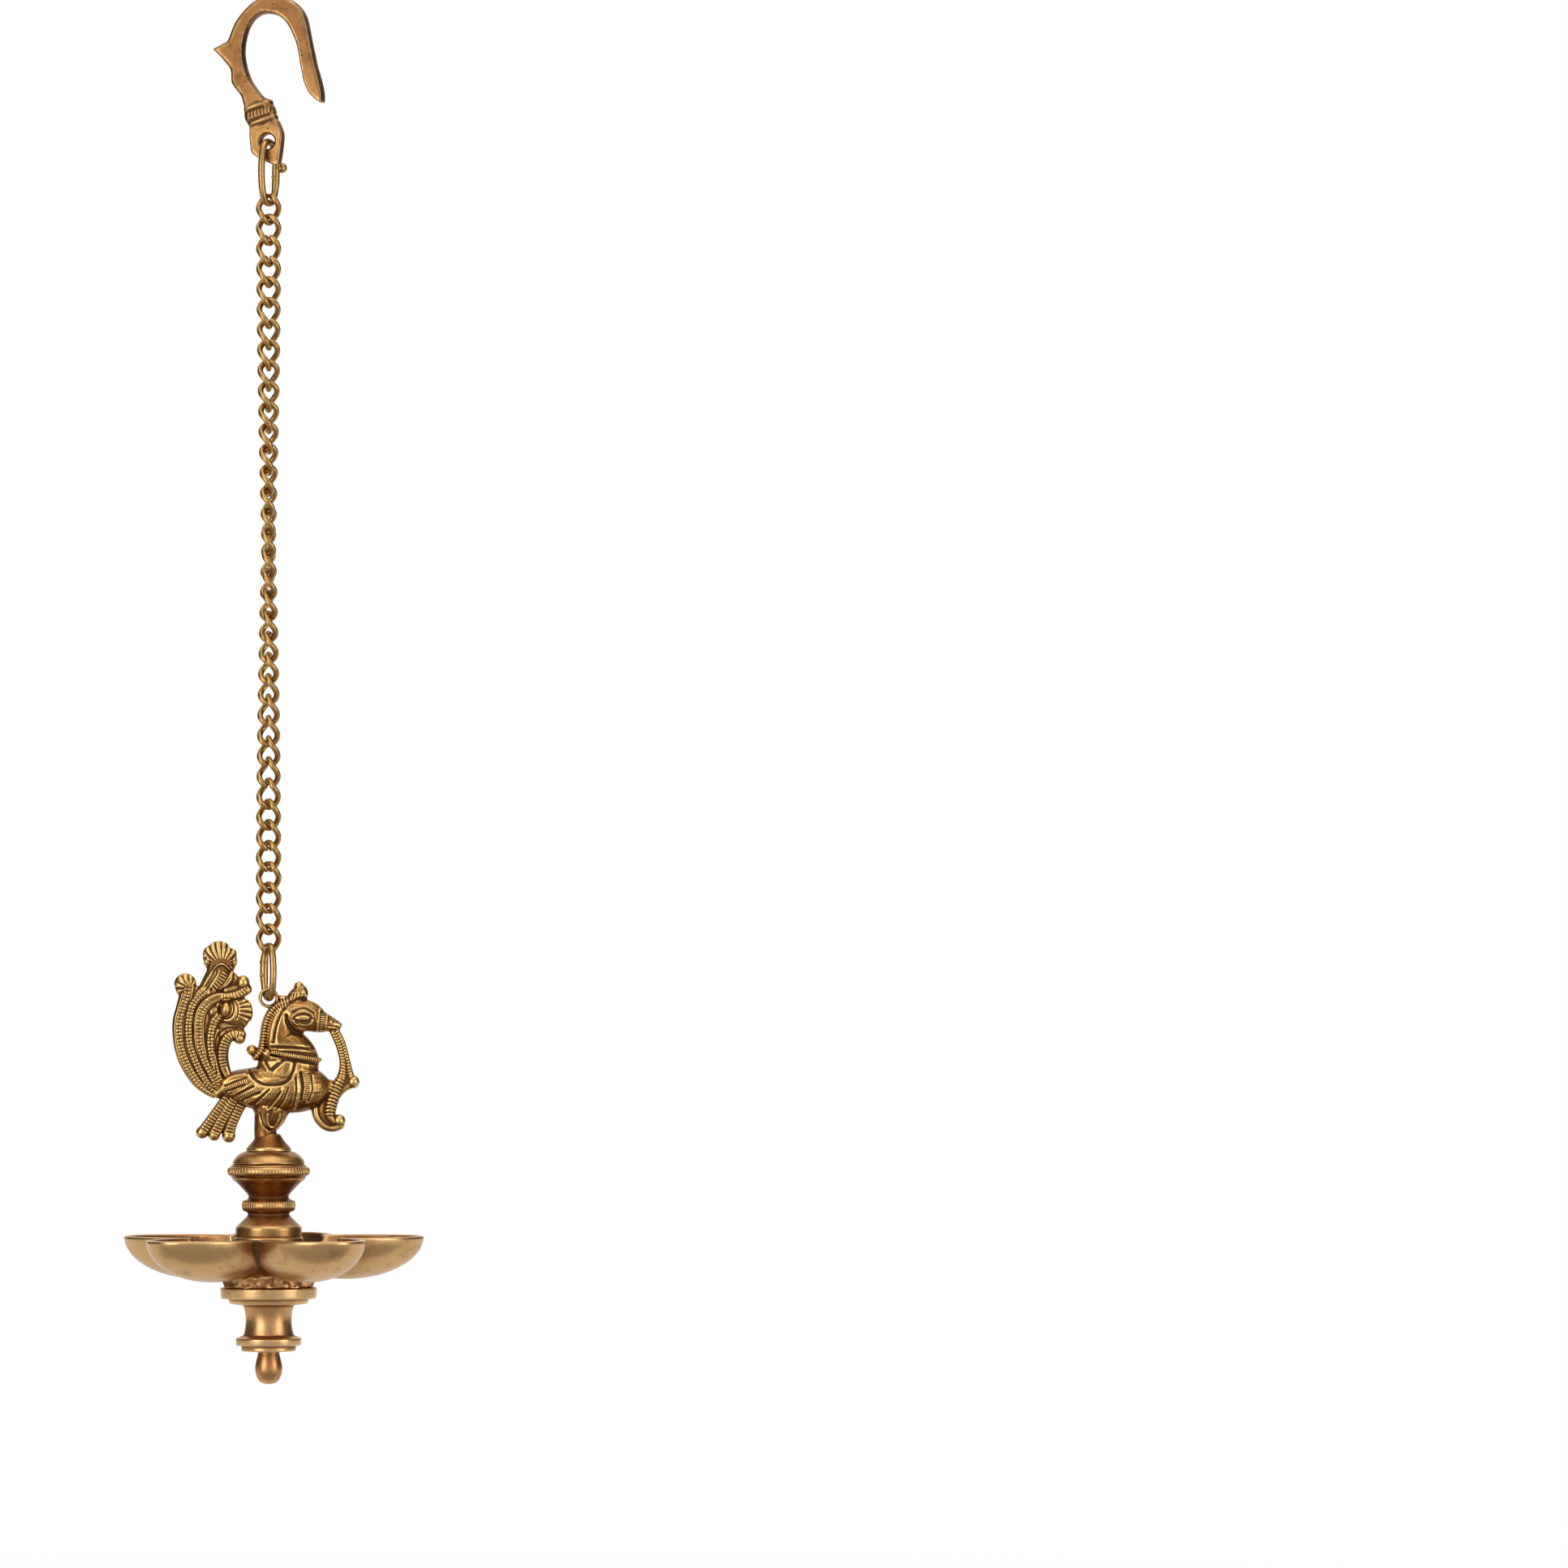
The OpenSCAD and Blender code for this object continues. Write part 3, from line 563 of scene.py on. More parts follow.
brazed_ring("upper_wire_ring", "upper_ring", 14.7, 26.8, 62, {
    "Braze At": 1.7, "Braze Swell": 0.16, "Braze Length": 0.5,
    "Ball Radius": 2.05 * MM, "Ball Aside": 2.4 * MM, "Ball At": 1.37,
    "Crust From": 1.4, "Crust To": 1.75, "Crust Count": 9, "Crust Size": 0.75 * MM})
brazed_ring("lower_wire_ring", "lower_ring", 13.2, 23.2, 110, {
    "Braze At": 1.45, "Braze Swell": 0.22, "Braze Length": 0.75,
    "Ball Radius": 1.1 * MM, "Ball Aside": -0.8 * MM, "Ball At": 1.2,
    "Crust From": 0.85, "Crust To": 1.8, "Crust Count": 22, "Crust Size": 0.85 * MM})


# Curb chain: links of drawn brass wire, each bent to an oval and twisted a quarter turn so that
# they lie close. Their butted ends stay open, upwards on some links and downwards on the others.
link_count = 36
link_wire = 2.3 * MM
link_length = 13.1 * MM
link_width = 10.1 * MM
link_twist = 90
first_turn = 7.8
link_turn = 5.14
link_steps = 60
link_sides = 14
butt_gap = 0.13
tip_taper = 0.16
gap_up = (1, 3, 4, 7, 8, 11, 13, 14, 17, 20, 21, 24, 26, 29, 30, 33, 35)

link_tree, link_in, start = tree_with("curb_link", Float=[
    "Half Width", "Half Length", "Wire Radius", "Twist", "Turn", "Height", "Gap", "Gap Side"])
share = start.geo("InputIndex") * (1 / (link_steps - 1))
turn = link_in["Gap"] + share * (2 * math.pi - 2 * link_in["Gap"]) + link_in["Gap Side"]
rise = turn.math("COSINE", turn)
twisted = link_in["Twist"] * 0.5 * turn.math("SINE", rise * (math.pi / 2))
spot = on_face(turn.math("SINE", turn) * link_in["Half Width"], link_in["Turn"] - twisted,
               rise * link_in["Half Length"] + link_in["Height"])
line = start.geo("MeshLine", {"Count": link_steps})
line = start.geo("SetPosition", {"Geometry": line, "Position": spot})
path = start.geo("MeshToCurve", {"Mesh": line})
wire = start.geo("CurvePrimitiveCircle", {
    "Resolution": link_sides, "Radius": link_in["Wire Radius"]})
tip = (share - 0.5).math("ABSOLUTE", share - 0.5)
bar = start.geo("CurveToMesh", {
    "Curve": path, "Profile Curve": wire, "Scale": 1 - tip_taper * tip.step(0.475, 0.5),
    "Fill Caps": True})
close_tree(link_tree, (bar,), wire_brass)

for k in range(1, link_count + 1):
    node = f"link_{k:02d}"
    low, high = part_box(node)
    piece = grow(link(f"curb_{node}"), link_tree, {
        "Half Width": (link_width - link_wire) / 2, "Half Length": (link_length - link_wire) / 2,
        "Wire Radius": link_wire / 2, "Twist": math.radians(link_twist),
        "Turn": math.radians(first_turn + (k - 1) * link_turn), "Height": (low.z + high.z) / 2,
        "Gap": butt_gap, "Gap Side": 0.0 if k in gap_up else math.pi})
    mark_recesses(piece.data, [(3, 0.12)])
    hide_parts(node)
    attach(piece, node)


# Bird: one casting of brass in the round, worked alike on both sides, chased after casting and
# darkened, then rubbed bright on the high parts. It hangs by the loop at its nape and is screwed
# onto the inner stud. Its forms are given in mm from the centre of the loop.
foot_drop = 60
bird_low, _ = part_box("bird")
loop_z = bird_low.z + foot_drop * MM
bird_voxel = 0.225
most_triangles = 190000
bird_recesses = [(5, 0.07), (32, 0.3)]
bird_brass = brass("bird_brass", "9C6E38", "845428", "E8C27C", "352010",
                   rough=0.36, mottle=90, patina=0.78, pits=0.35)


def pad(x, z, width, height, thick, tilt=0.0, y=0.0):
    """A cushion: an ellipsoid with its middle at x, z, its long side tilted in degrees."""
    sides, rows = 24, 12
    c, s = math.cos(math.radians(tilt)), math.sin(math.radians(tilt))
    verts = [(0, -1, 0)]
    for q in (math.pi * r / rows for r in range(1, rows)):
        verts += [(math.sin(q) * math.cos(a), -math.cos(q), math.sin(q) * math.sin(a))
                  for a in full_turn(sides)]
    verts.append((0, 1, 0))
    flat = np.array(verts) * (width, thick, height)
    placed = np.stack([x + flat[:, 0] * c - flat[:, 2] * s, y + flat[:, 1],
                       z + flat[:, 0] * s + flat[:, 2] * c], 1)
    faces = [(0, 1 + (j + 1) % sides, 1 + j) for j in range(sides)]
    for r in range(rows - 2):
        a, b = 1 + r * sides, 1 + (r + 1) * sides
        faces += [(a + j, a + (j + 1) % sides, b + (j + 1) % sides, b + j) for j in range(sides)]
    a, last = 1 + (rows - 2) * sides, len(verts) - 1
    return placed, faces + [(a + j, a + (j + 1) % sides, last) for j in range(sides)]


def revolve(profile, axis, sides=64):
    """A closed profile of radius and height turned about Z, or about Y through the origin."""
    verts = []
    for a in full_turn(sides):
        for r, h in profile:
            x, y = r * math.cos(a), r * math.sin(a)
            verts.append((x, y, h) if axis == "Z" else (x, h, y))
    return np.array(verts), skin(sides, len(profile), closed=True)


def mirrored(form):
    """The same form on the other flank."""
    verts, faces = form
    return verts * (1, -1, 1), [face[::-1] for face in faces]


def ripple(wave):
    """Round crests with narrow valleys, about as much above the skin as below it."""
    return np.abs(wave) ** 0.8 - 0.55


class Chaser:
    """Punches and chisels for the skin of a casting. Each adds to the lift of the points that it
    covers. Places are in mm from the loop, heights and depths in mm."""

    def __init__(self, mesh):
        self.mesh = mesh
        co = points(mesh)
        self.x, self.z = co[:, 0] / MM, (co[:, 2] - loop_z) / MM
        self.out = normals(mesh)
        # How far each point faces to the side, where a chisel reaches it.
        self.side = fade(np.abs(self.out[:, 1]) - 0.2, 0.4)
        self.lift = np.zeros(len(co))

    def along(self, stations, reach):
        """For the points near a line: their numbers, the distance along it and across it, and
        the line's length."""
        s = smooth_line([p[:2] for p in stations], 10)
        near = np.where((self.x > s[:, 0].min() - reach) & (self.x < s[:, 0].max() + reach)
                        & (self.z > s[:, 1].min() - reach) & (self.z < s[:, 1].max() + reach))[0]
        p = np.stack([self.x[near], self.z[near]], 1)
        best = np.full(len(p), np.inf)
        run, cross = np.zeros(len(p)), np.zeros(len(p))
        done = 0.0
        for a, d in zip(s, np.diff(s, axis=0)):
            size = np.linalg.norm(d)
            t = np.clip(((p - a) @ d) / size ** 2, 0, 1)
            gap = p - a - t[:, None] * d
            far = np.linalg.norm(gap, axis=1)
            hit = far < best
            best[hit] = far[hit]
            run[hit] = done + t[hit] * size
            cross[hit] = (np.sign(d[0] * gap[:, 1] - d[1] * gap[:, 0]) * far)[hit]
            done += size
        keep = best < reach
        return near[keep], run[keep], cross[keep], done

    def groove(self, stations, width, depth):
        """A chiselled line, or a raised one where the depth is below zero."""
        at, _, cross, _ = self.along(stations, 1.5 * width)
        self.lift[at] -= np.exp(-(cross / (0.5 * width)) ** 2) * depth * self.side[at]

    def ribs(self, stations, width, pitch, height, slant=0.0):
        """Cross ribs along a band of that half width."""
        at, run, cross, length = self.along(stations, width)
        band = fade(width - np.abs(cross), 0.3 * width)
        ends = fade(run, 0.6) * fade(length - run, 0.6)
        wave = ripple(np.cos(math.pi * (run + slant * cross) / pitch))
        self.lift[at] += wave * band * ends * height

    def beads(self, stations, columns, spread, pitch, depth, line):
        """Columns of square beads along a band, parted by punched lines."""
        at, run, cross, length = self.along(stations, 0.5 * columns * spread + 2 * line)
        ends = fade(run, 0.8) * fade(length - run, 0.8)
        run = run + 0.14 * np.sin(1.9 * self.x[at] + 2.3 * self.z[at])
        column = cross / spread + 0.5 * columns
        parted = np.exp(-(np.abs(column - np.round(column)) * spread / line) ** 2)
        row = np.abs(run / pitch - np.floor(run / pitch) - 0.5)
        inside = np.clip((0.5 * columns * spread - np.abs(cross)) / line + 0.5, 0, 1)
        cut = np.maximum(parted, np.exp(-(row * pitch / line) ** 2) * inside)
        self.lift[at] -= cut * ends * depth * self.side[at]

    def rays(self, x, z, first, last, inner, outer, count, height):
        """Ribs that fan out from a point, between two angles in degrees and two radii."""
        dx, dz = self.x - x, self.z - z
        r = np.hypot(dx, dz)
        a = (np.degrees(np.arctan2(dz, dx)) - first) % 360
        at = np.where((r > inner) & (r < outer) & (a < last - first))[0]
        edge = fade(r[at] - inner, 0.8) * fade(outer - r[at], 0.6)
        wave = ripple(np.sin(math.pi * a[at] * count / (last - first)))
        self.lift[at] += wave * edge * height * self.side[at]

    def shield(self, x, z, width, tall, top, height):
        """A raised half disc with its flat side up."""
        q = ((self.x - x) / width) ** 2 + ((self.z - z) / tall) ** 2
        self.lift += fade(1 - q, 0.35) * fade(top - self.z, 0.8) * height * self.side

    def dome(self, x, z, radius, height):
        """A raised knob."""
        r = np.hypot(self.x - x, self.z - z) / radius
        self.lift += np.sqrt(np.maximum(0, 1 - r ** 2)) * height * self.side

    def scales(self, low, high, pitch, depth):
        """Rows of punched half rings between two corners, fading out towards three sides."""
        inside = ((self.x > low[0]) & (self.x < high[0])
                  & (self.z > low[1]) & (self.z < high[1]))
        row = np.floor(self.z / pitch)
        dx = ((self.x + 0.5 * pitch * (row % 2)) % pitch) - 0.5 * pitch
        dz = self.z - row * pitch
        ring = np.exp(-((np.hypot(dx, dz) - 0.4 * pitch) / (0.14 * pitch)) ** 2)
        ring *= np.abs(dx) < 0.34 * pitch
        ring *= fade(self.x - low[0], 2) * fade(high[1] - self.z, 3) * fade(self.z - low[1], 3)
        self.lift -= np.where(inside, ring * depth, 0) * self.side

    def finish(self):
        """Moves the points by their lift and takes off the burr."""
        co = points(self.mesh) + self.out * (self.lift * MM)[:, None]
        set_points(self.mesh, relaxed(self.mesh, co, 1, pull=0.3))


def finish_casting(piece, chased):
    """Ends the chasing: the marks set, fewer faces where the surface is plain, and the brass."""
    chased.finish()
    mark_recesses(piece.data, bird_recesses)
    triangles = sum(len(face.vertices) - 2 for face in piece.data.polygons)
    if triangles > most_triangles:
        piece.modifiers.new("thin", "DECIMATE").ratio = most_triangles / triangles
        flatten(piece)
    coat(piece, bird_brass)


# Tail of the bird: four beaded plumes and a ribbed inner one, with lobes, knobs and fans at their
# ends. Stations are x, z, half width and half thickness, and pads x, z and three half sizes.
plume_a = [
    (-21.6, -37.4, 1.3, 2.6), (-26.7, -33.8, 1.6, 2.8), (-30.4, -28.8, 1.8, 2.9),
    (-32.9, -23.8, 1.9, 2.9), (-34.4, -18.8, 1.9, 2.9), (-35, -13.8, 1.9, 2.9),
    (-34.9, -8.8, 1.9, 2.8), (-33.6, -3.8, 1.9, 2.8), (-32, 1.2, 2.2, 2.7), (-31.5, 4.8, 2.4, 2.5)]
plume_b = [
    (-19.6, -36.8, 1.2, 2.8), (-23.5, -33.8, 1.4, 3), (-26.7, -28.8, 1.5, 3.1),
    (-29, -23.8, 1.6, 3.2), (-30.7, -18.8, 1.6, 3.2), (-31.3, -13.8, 1.6, 3.2),
    (-31.1, -8.8, 1.6, 3.1), (-30.1, -3.8, 1.6, 3.1), (-27.9, -0.2, 1.7, 3), (-24.7, 2.8, 2.2, 2.9)]
plume_c = [
    (-18.1, -35.8, 1.2, 3), (-20.5, -33.8, 1.4, 3.2), (-22.8, -28.8, 1.7, 3.3),
    (-25.3, -23.8, 1.8, 3.4), (-26.8, -18.8, 1.9, 3.4), (-27.2, -13.8, 1.9, 3.4),
    (-27.1, -8.8, 1.9, 3.4), (-25.9, -4.8, 2, 3.3), (-23.1, -1.4, 2, 3.2), (-19.5, 0.3, 1.7, 3),
    (-15.7, 0.6, 1.5, 2.9), (-11.7, 1.6, 1.5, 2.7), (-8.5, 3.6, 1.6, 2.5)]
plume_d = [
    (-17.7, -34.4, 1.2, 3), (-19, -32.4, 1.3, 3.2), (-20.4, -28.8, 1.4, 3.3),
    (-21.8, -23.8, 1.5, 3.4), (-22.7, -18.8, 1.5, 3.4), (-22.5, -13.8, 1.6, 3.4),
    (-21.3, -9.4, 1.7, 3.3), (-19.7, -7.2, 1.7, 3.2)]
plume_e = [
    (-15.9, -30.8, 1.3, 2.8), (-17.3, -27.4, 1.6, 3), (-18.1, -23.4, 1.7, 3),
    (-17.8, -19.2, 1.8, 3), (-16.1, -15.6, 1.7, 2.9), (-13.3, -14.2, 1.7, 2.7),
    (-10.7, -14.6, 1.7, 2.5)]
stalk = [(-25.1, 3.4, 2.6, 2.4), (-22.1, 7.2, 3.6, 2.5), (-19.5, 11.2, 4.2, 2.5)]
leaf_left = [(-25.5, 4.4, 0.6, 2.8), (-23.7, 7.4, 1.3, 3), (-21.7, 11, 0.6, 2.8)]
leaf_right = [(-18.9, 3.6, 0.6, 2.7), (-15.5, 6.6, 1.4, 2.9), (-14.3, 10.4, 0.7, 2.7)]
fan_right = [
    (-17.9, -6, 3.4, 2.2), (-13.6, -6, 5.9, 2.4), (-10.1, -5.2, 6.2, 2.3), (-8.1, -4.9, 4.4, 1.9)]
fan_top = [
    (-18.1, 11, 5.2, 2.3), (-18.6, 13, 6, 2.5), (-19.1, 16.4, 6.7, 2.6), (-19.3, 18.8, 6.2, 2.3),
    (-19.2, 20.6, 3.6, 1.8)]
arch = [(-21.5, 11.2, 0.6, 3), (-19.7, 13, 0.7, 3.1), (-17.3, 13, 0.7, 3.1), (-15.3, 11.2, 0.6, 3)]
webs = [
    [(-23.9, 4.2, 2.2, 1.7), (-18.3, 6.2, 4, 1.8), (-13.3, 7.2, 2.8, 1.7)],
    [(-21.3, -10.4, 1.8, 1.8), (-15.9, -11.6, 2.4, 1.8), (-11.1, -12, 1.6, 1.6)],
    [(-29.5, -1, 1.4, 1.9), (-28.5, 3.4, 1.6, 1.8)],
    [(-25.3, -0.6, 1.6, 2), (-21.5, 2.6, 1.4, 2)],
    [(-24.6, -4.6, 1.6, 2), (-24.6, -9, 1.8, 2.2), (-25, -13.4, 1.4, 2.2)],
    [(-16.4, 3, 1.8, 2), (-11.4, 4, 1.6, 1.9)],
    [(-20.4, -12.6, 1.8, 2.2), (-20.9, -17, 1.6, 2.2), (-21.2, -22, 1.5, 2.2),
     (-20.6, -27, 1.4, 2.2)]]
tail_pads = [
    (-32.6, 5.5, 4.4, 4.3, 3), (-34.8, 2.8, 1.5, 1.6, 3.1), (-10, 6, 2.6, 3, 3.1),
    (-16.8, -4.5, 2.4, 3.5, 4.2, -8), (-11.4, -15.8, 2.4, 2.4, 3.1), (-24, 14.2, 1.5, 2.2, 3.2),
    (-13.4, 14.2, 1.2, 2.2, 3.2), (-21.6, -5.2, 2.6, 3.2, 2.3), (-19.4, -2.6, 2, 2, 2.3),
    (-18.2, -13.6, 2.2, 2.4, 2.1)]
plumes = (plume_a, plume_b, plume_c, plume_d, plume_e)
tail_forms = []
for wider, thinner, square in ((1.08, 1, 0.5), (1.4, 0.78, 0.7)):
    for plume in plumes:
        line = [(x, z, wider * w, thinner * t) for x, z, w, t in plume]
        tail_forms.append(limb(line, square=square))
tail_forms += [limb(p) for p in (stalk, leaf_left, leaf_right, fan_right, fan_top, arch, *webs)]
tail_forms += [pad(*p) for p in tail_pads]
tail = cast("bird_tail", tail_forms, bird_voxel, 2, loop_z)
chased = Chaser(tail.data)
for plume in (plume_a, plume_b, plume_c[:9], plume_d):
    chased.beads(plume, columns=2, spread=1.5, pitch=1.28, depth=0.3, line=0.19)
chased.ribs(plume_e[1:], width=1.7, pitch=1.25, height=0.42)
chased.ribs(plume_c[9:], width=1.4, pitch=1.25, height=0.34)
chased.rays(-30.8, 3.6, first=40, last=205, inner=1.8, outer=6.4, count=6, height=0.5)
chased.rays(-18.5, 11.6, first=16, last=164, inner=3.6, outer=11, count=10, height=0.55)
chased.rays(-16.8, -4.5, first=-34, last=34, inner=5.2, outer=11.4, count=5, height=0.55)
knob_line = [(-19.4, -6.4), (-19.2, -2.8), (-17.7, -0.5), (-15.1, -0.5), (-13.7, -3), (-13.9, -6),
             (-15.5, -8), (-17.9, -8.1), (-19.4, -6.4)]
inner_line = [(-20.5, -29.8), (-20.7, -19.8), (-19.7, -14.4), (-16.5, -12), (-12.1, -11.6),
              (-9.1, -12.2)]
for line, width, depth in (
        (knob_line, 0.7, 0.55),
        ([(-14.7, 0), (-12.4, -2.4), (-12, -5.8), (-12.7, -8.2)], 0.6, 0.4),
        (inner_line, 0.9, 0.5),
        ([(-24.4, 3.2), (-21, 8), (-20, 10.8)], 0.7, 0.5),
        ([(-18.6, 3), (-16, 6.6), (-14.6, 10)], 0.7, 0.5)):
    chased.groove(line, width, depth)
chased.ribs([(-22.6, 2.8), (-19, 6.4), (-17, 10)], width=1.5, pitch=1.25, height=0.5)
finish_casting(tail, chased)

# Body of the bird: neck, head and foot, with the mane, the wing feathers, the saddle and the vine
# that hangs from the beak. Stations and pads are as in the tail.
body = [
    (-19.9, -37.2, 2.2, 3.2), (-14.4, -34.4, 5.5, 5.6), (-5.8, -35.2, 8.3, 8.4),
    (4, -35.5, 9.6, 10), (13.2, -35.5, 9.2, 9.6), (19.6, -35.1, 6.8, 7.4), (23.3, -35.1, 3.3, 4)]
neck = [
    (7, -33.1, 12, 9.2), (7.8, -27, 12.2, 8.8), (8.6, -23.6, 10.9, 8), (7.4, -20.2, 9, 7.4),
    (4.2, -16.6, 6.7, 6.8), (4.1, -11.8, 6.3, 6.4), (5.6, -7.2, 5.6, 6)]
head = [
    (2.6, -7.2, 3.5, 4.6), (8.3, -7.3, 6.9, 6.4), (15, -7.2, 6.4, 6.2), (20.2, -9.3, 4.5, 4.8),
    (24.4, -10.2, 2.9, 3.4), (27, -10.8, 1.7, 2.2)]
crest = [(10.2, -1.6, 3.8, 4), (11.8, 1.4, 3.7, 3.5), (12, 3.4, 3.1, 3), (11.8, 4.6, 1.9, 2.6)]
mane = [
    (9.8, -1, 1.2, 3.4), (4.6, -2.2, 1.4, 3.4), (0.6, -5.8, 1.5, 3.6), (-1.4, -10.6, 1.5, 4.8),
    (-2.1, -15.8, 1.5, 5), (-2.9, -20.4, 1.6, 5.2), (-5.2, -23.2, 1.5, 4.6)]
vine_out = [
    (26.5, -12.1, 0.9, 1.5), (29, -17.5, 1, 1.6), (30.7, -23.9, 1, 1.6), (32.1, -30.2, 1.3, 1.8),
    (33.3, -33.2, 1.9, 2.2)]
vine_in = [
    (25, -12.8, 1.4, 1.6), (27.7, -19.3, 1.3, 1.7), (29, -25.6, 1.3, 1.8), (28.6, -31.1, 2, 2.2),
    (25.8, -36.8, 2.8, 3.2), (24, -42.8, 2.7, 3.4), (24, -46.4, 2.2, 3), (25.8, -48.6, 1.6, 2.6)]
bud_stem = [(32.2, -34, 1.4, 1.8), (28.6, -36.2, 1.5, 1.9), (25.4, -39.6, 1.8, 2.2)]
pendant = [
    (18.2, -43.4, 1.6, 2.8), (19, -47, 1.6, 2.7), (21.8, -50.2, 1.5, 2.6), (25.2, -51.2, 1.4, 2.5),
    (28, -50, 1.7, 2.4)]
vine_webs = [
    [(22.4, -38.4, 1.6, 2.2), (21.4, -43, 2.4, 2), (21.8, -47.4, 2.2, 1.9),
     (24.6, -49.4, 1.6, 1.8)],
    [(30.6, -29, 0.9, 1.3), (30.6, -33.2, 1.6, 1.4), (29.2, -35, 1.3, 1.6)]]
loop_root = [(3, -4.2, 1.1, 1.8), (6, -4.6, 2.2, 2.8)]
nape = [(5, 0, 1.2, 1.8), (8, -1.4, 1.9, 2.6)]
thigh = [
    (1, -43, 7.6, 7.2), (0.3, -46.4, 6.4, 6.4), (-0.7, -49.2, 5.2, 5.6), (-1.4, -52.2, 4.3, 4.6),
    (-0.8, -55.5, 4.8, 4.8)]
lower_feathers = [
    [(-15, -37.4, 1.9, 2.4), (-21.8, -46.7, 1.8, 2.4), (-25.8, -52.4, 2, 2.5)],
    [(-12.4, -38, 2.1, 2.8), (-18.2, -47.6, 2.1, 2.8), (-21.3, -53.2, 2.1, 2.7)],
    [(-9.4, -38.8, 2, 2.5), (-14.1, -48.6, 1.9, 2.6), (-15.6, -53.4, 2.2, 2.6)]]
body_pads = [
    (-26, -52.6, 2.5, 2.5, 2.9), (-21.3, -53.6, 2.4, 2.4, 3.1), (-15.6, -54, 2.7, 2.7, 3),
    (-6.6, -20.4, 2.2, 2.2, 4), (-0.4, -21.8, 3, 3, 5.4), (33.2, -33, 2.4, 2.6, 2.7),
    (27.6, -48.2, 2.5, 2.7, 3)]
foot_profile = [
    (0.01, -60), (8.8, -60), (8.8, -58.9), (8.3, -58.4), (7, -57), (5.6, -55.2), (4.4, -53.2),
    (0.01, -53.2)]
loop_radius, loop_wall, loop_half = 3.32, 0.7, 1.95
loop_profile = [(loop_radius + loop_wall * math.cos(a), loop_half * math.sin(a))
                for a in full_turn(24)]
body_forms = [limb(p) for p in (body, neck, head, crest, mane, vine_out, vine_in, bud_stem, pendant,
                                loop_root, nape, thigh, *vine_webs)]
for feather in lower_feathers:
    body_forms.append(limb([(x, z, 1.12 * w, t) for x, z, w, t in feather], square=0.6))
body_forms += [pad(*p) for p in body_pads]
body_forms += [revolve(foot_profile, "Z"), revolve(loop_profile, "Y")]
flank_tree = BVHTree.FromPolygons(*merged(body_forms[:3]))


def flank(x, z, sink):
    """Distance from the middle plane to the flank at a point, less how deep relief is let in."""
    hit = flank_tree.ray_cast(Vector((x, 40, z)), Vector((0, -1, 0)))[0]
    return (hit.y if hit else 1.5) - sink


ribbed_feathers = [
    [(-17.8, -35.8), (-13.3, -34.2), (-8.5, -31.9)], [(-12.5, -39.8), (-7.3, -37.2), (-2.7, -35)],
    [(-3.9, -42), (0.4, -38.7), (4, -35.6)], [(6.4, -41.5), (8.1, -37.5), (9.3, -33.4)],
    [(13.6, -39.8), (14.8, -34.6), (14.6, -30.3), (14.1, -27.6)]]
plain_feathers = [
    [(-17.6, -32.9), (-14, -30.7), (-9.2, -29.9)], [(-16.1, -38.5), (-11.6, -36.5), (-6.8, -33.4)],
    [(-9.2, -41.4), (-4.6, -38.9), (-0.5, -35.6)], [(-0.3, -43.8), (3.8, -39.8), (5.7, -35.2)],
    [(10, -43.2), (11.9, -38.4), (11.9, -33.1), (11.2, -28.6)]]
feather_lines = [
    [(-16.6, -36.7), (-9.4, -33.7)], [(-12.1, -37.7), (-5.8, -34.4)], [(-5.3, -41.3), (0.2, -35.8)],
    [(-10.1, -40), (-3.5, -36.8)], [(-0.1, -43), (4.7, -36.5)],
    [(2.8, -44), (5.7, -40.3), (7.6, -35.1)], [(9.5, -42.5), (10.7, -37), (10.5, -31.2)],
    [(15.5, -40.3), (17.2, -36), (16.7, -30.3)], [(-17.1, -34.4), (-12.7, -32.4), (-8.7, -31)]]
deep_line = [(12.7, -39.8), (13.5, -34.6), (12.7, -29.3)]
saddle_line = [
    (-7.3, -28.3), (-5.8, -31.2), (-2.5, -33.5), (1.9, -34), (6.2, -32.9), (9.1, -29.8),
    (10.5, -25.4)]
necklace = [(1.3, -21.3, 0.9), (10, -22.8, 1), (19.9, -24.3, 0.9)]
neck_ridge = [(3.9, -20.1, 0.6), (10.9, -20.5, 0.6), (17.9, -21.1, 0.6)]
eyelids = [
    [(8.7, -7.8, 0.4), (10.7, -6.1, 0.5), (13.7, -5.4, 0.5), (16.5, -6.2, 0.5), (17.5, -7.6, 0.4)],
    [(9, -8.7, 0.4), (11.1, -10.2, 0.5), (13.9, -10.7, 0.5), (16.5, -10, 0.5), (17.3, -8.6, 0.4)]]
eye_x, eye_z = 13.2, -7.8
reliefs = [(necklace, 1.7, 0.8), (neck_ridge, 0.8, 0.2), *((lid, 0.7, 0.2) for lid in eyelids)]
for line, thick, sink in reliefs:
    form = limb([(x, z, w, thick) for x, z, w in line], sides=20, square=0.7,
                lift=lambda x, z: flank(x, z, sink))
    body_forms += [form, mirrored(form)]
eye_form = pad(eye_x, eye_z, 2.9, 1.1, 1, tilt=1, y=flank(eye_x, eye_z, 0.1))
body_forms += [eye_form, mirrored(eye_form)]

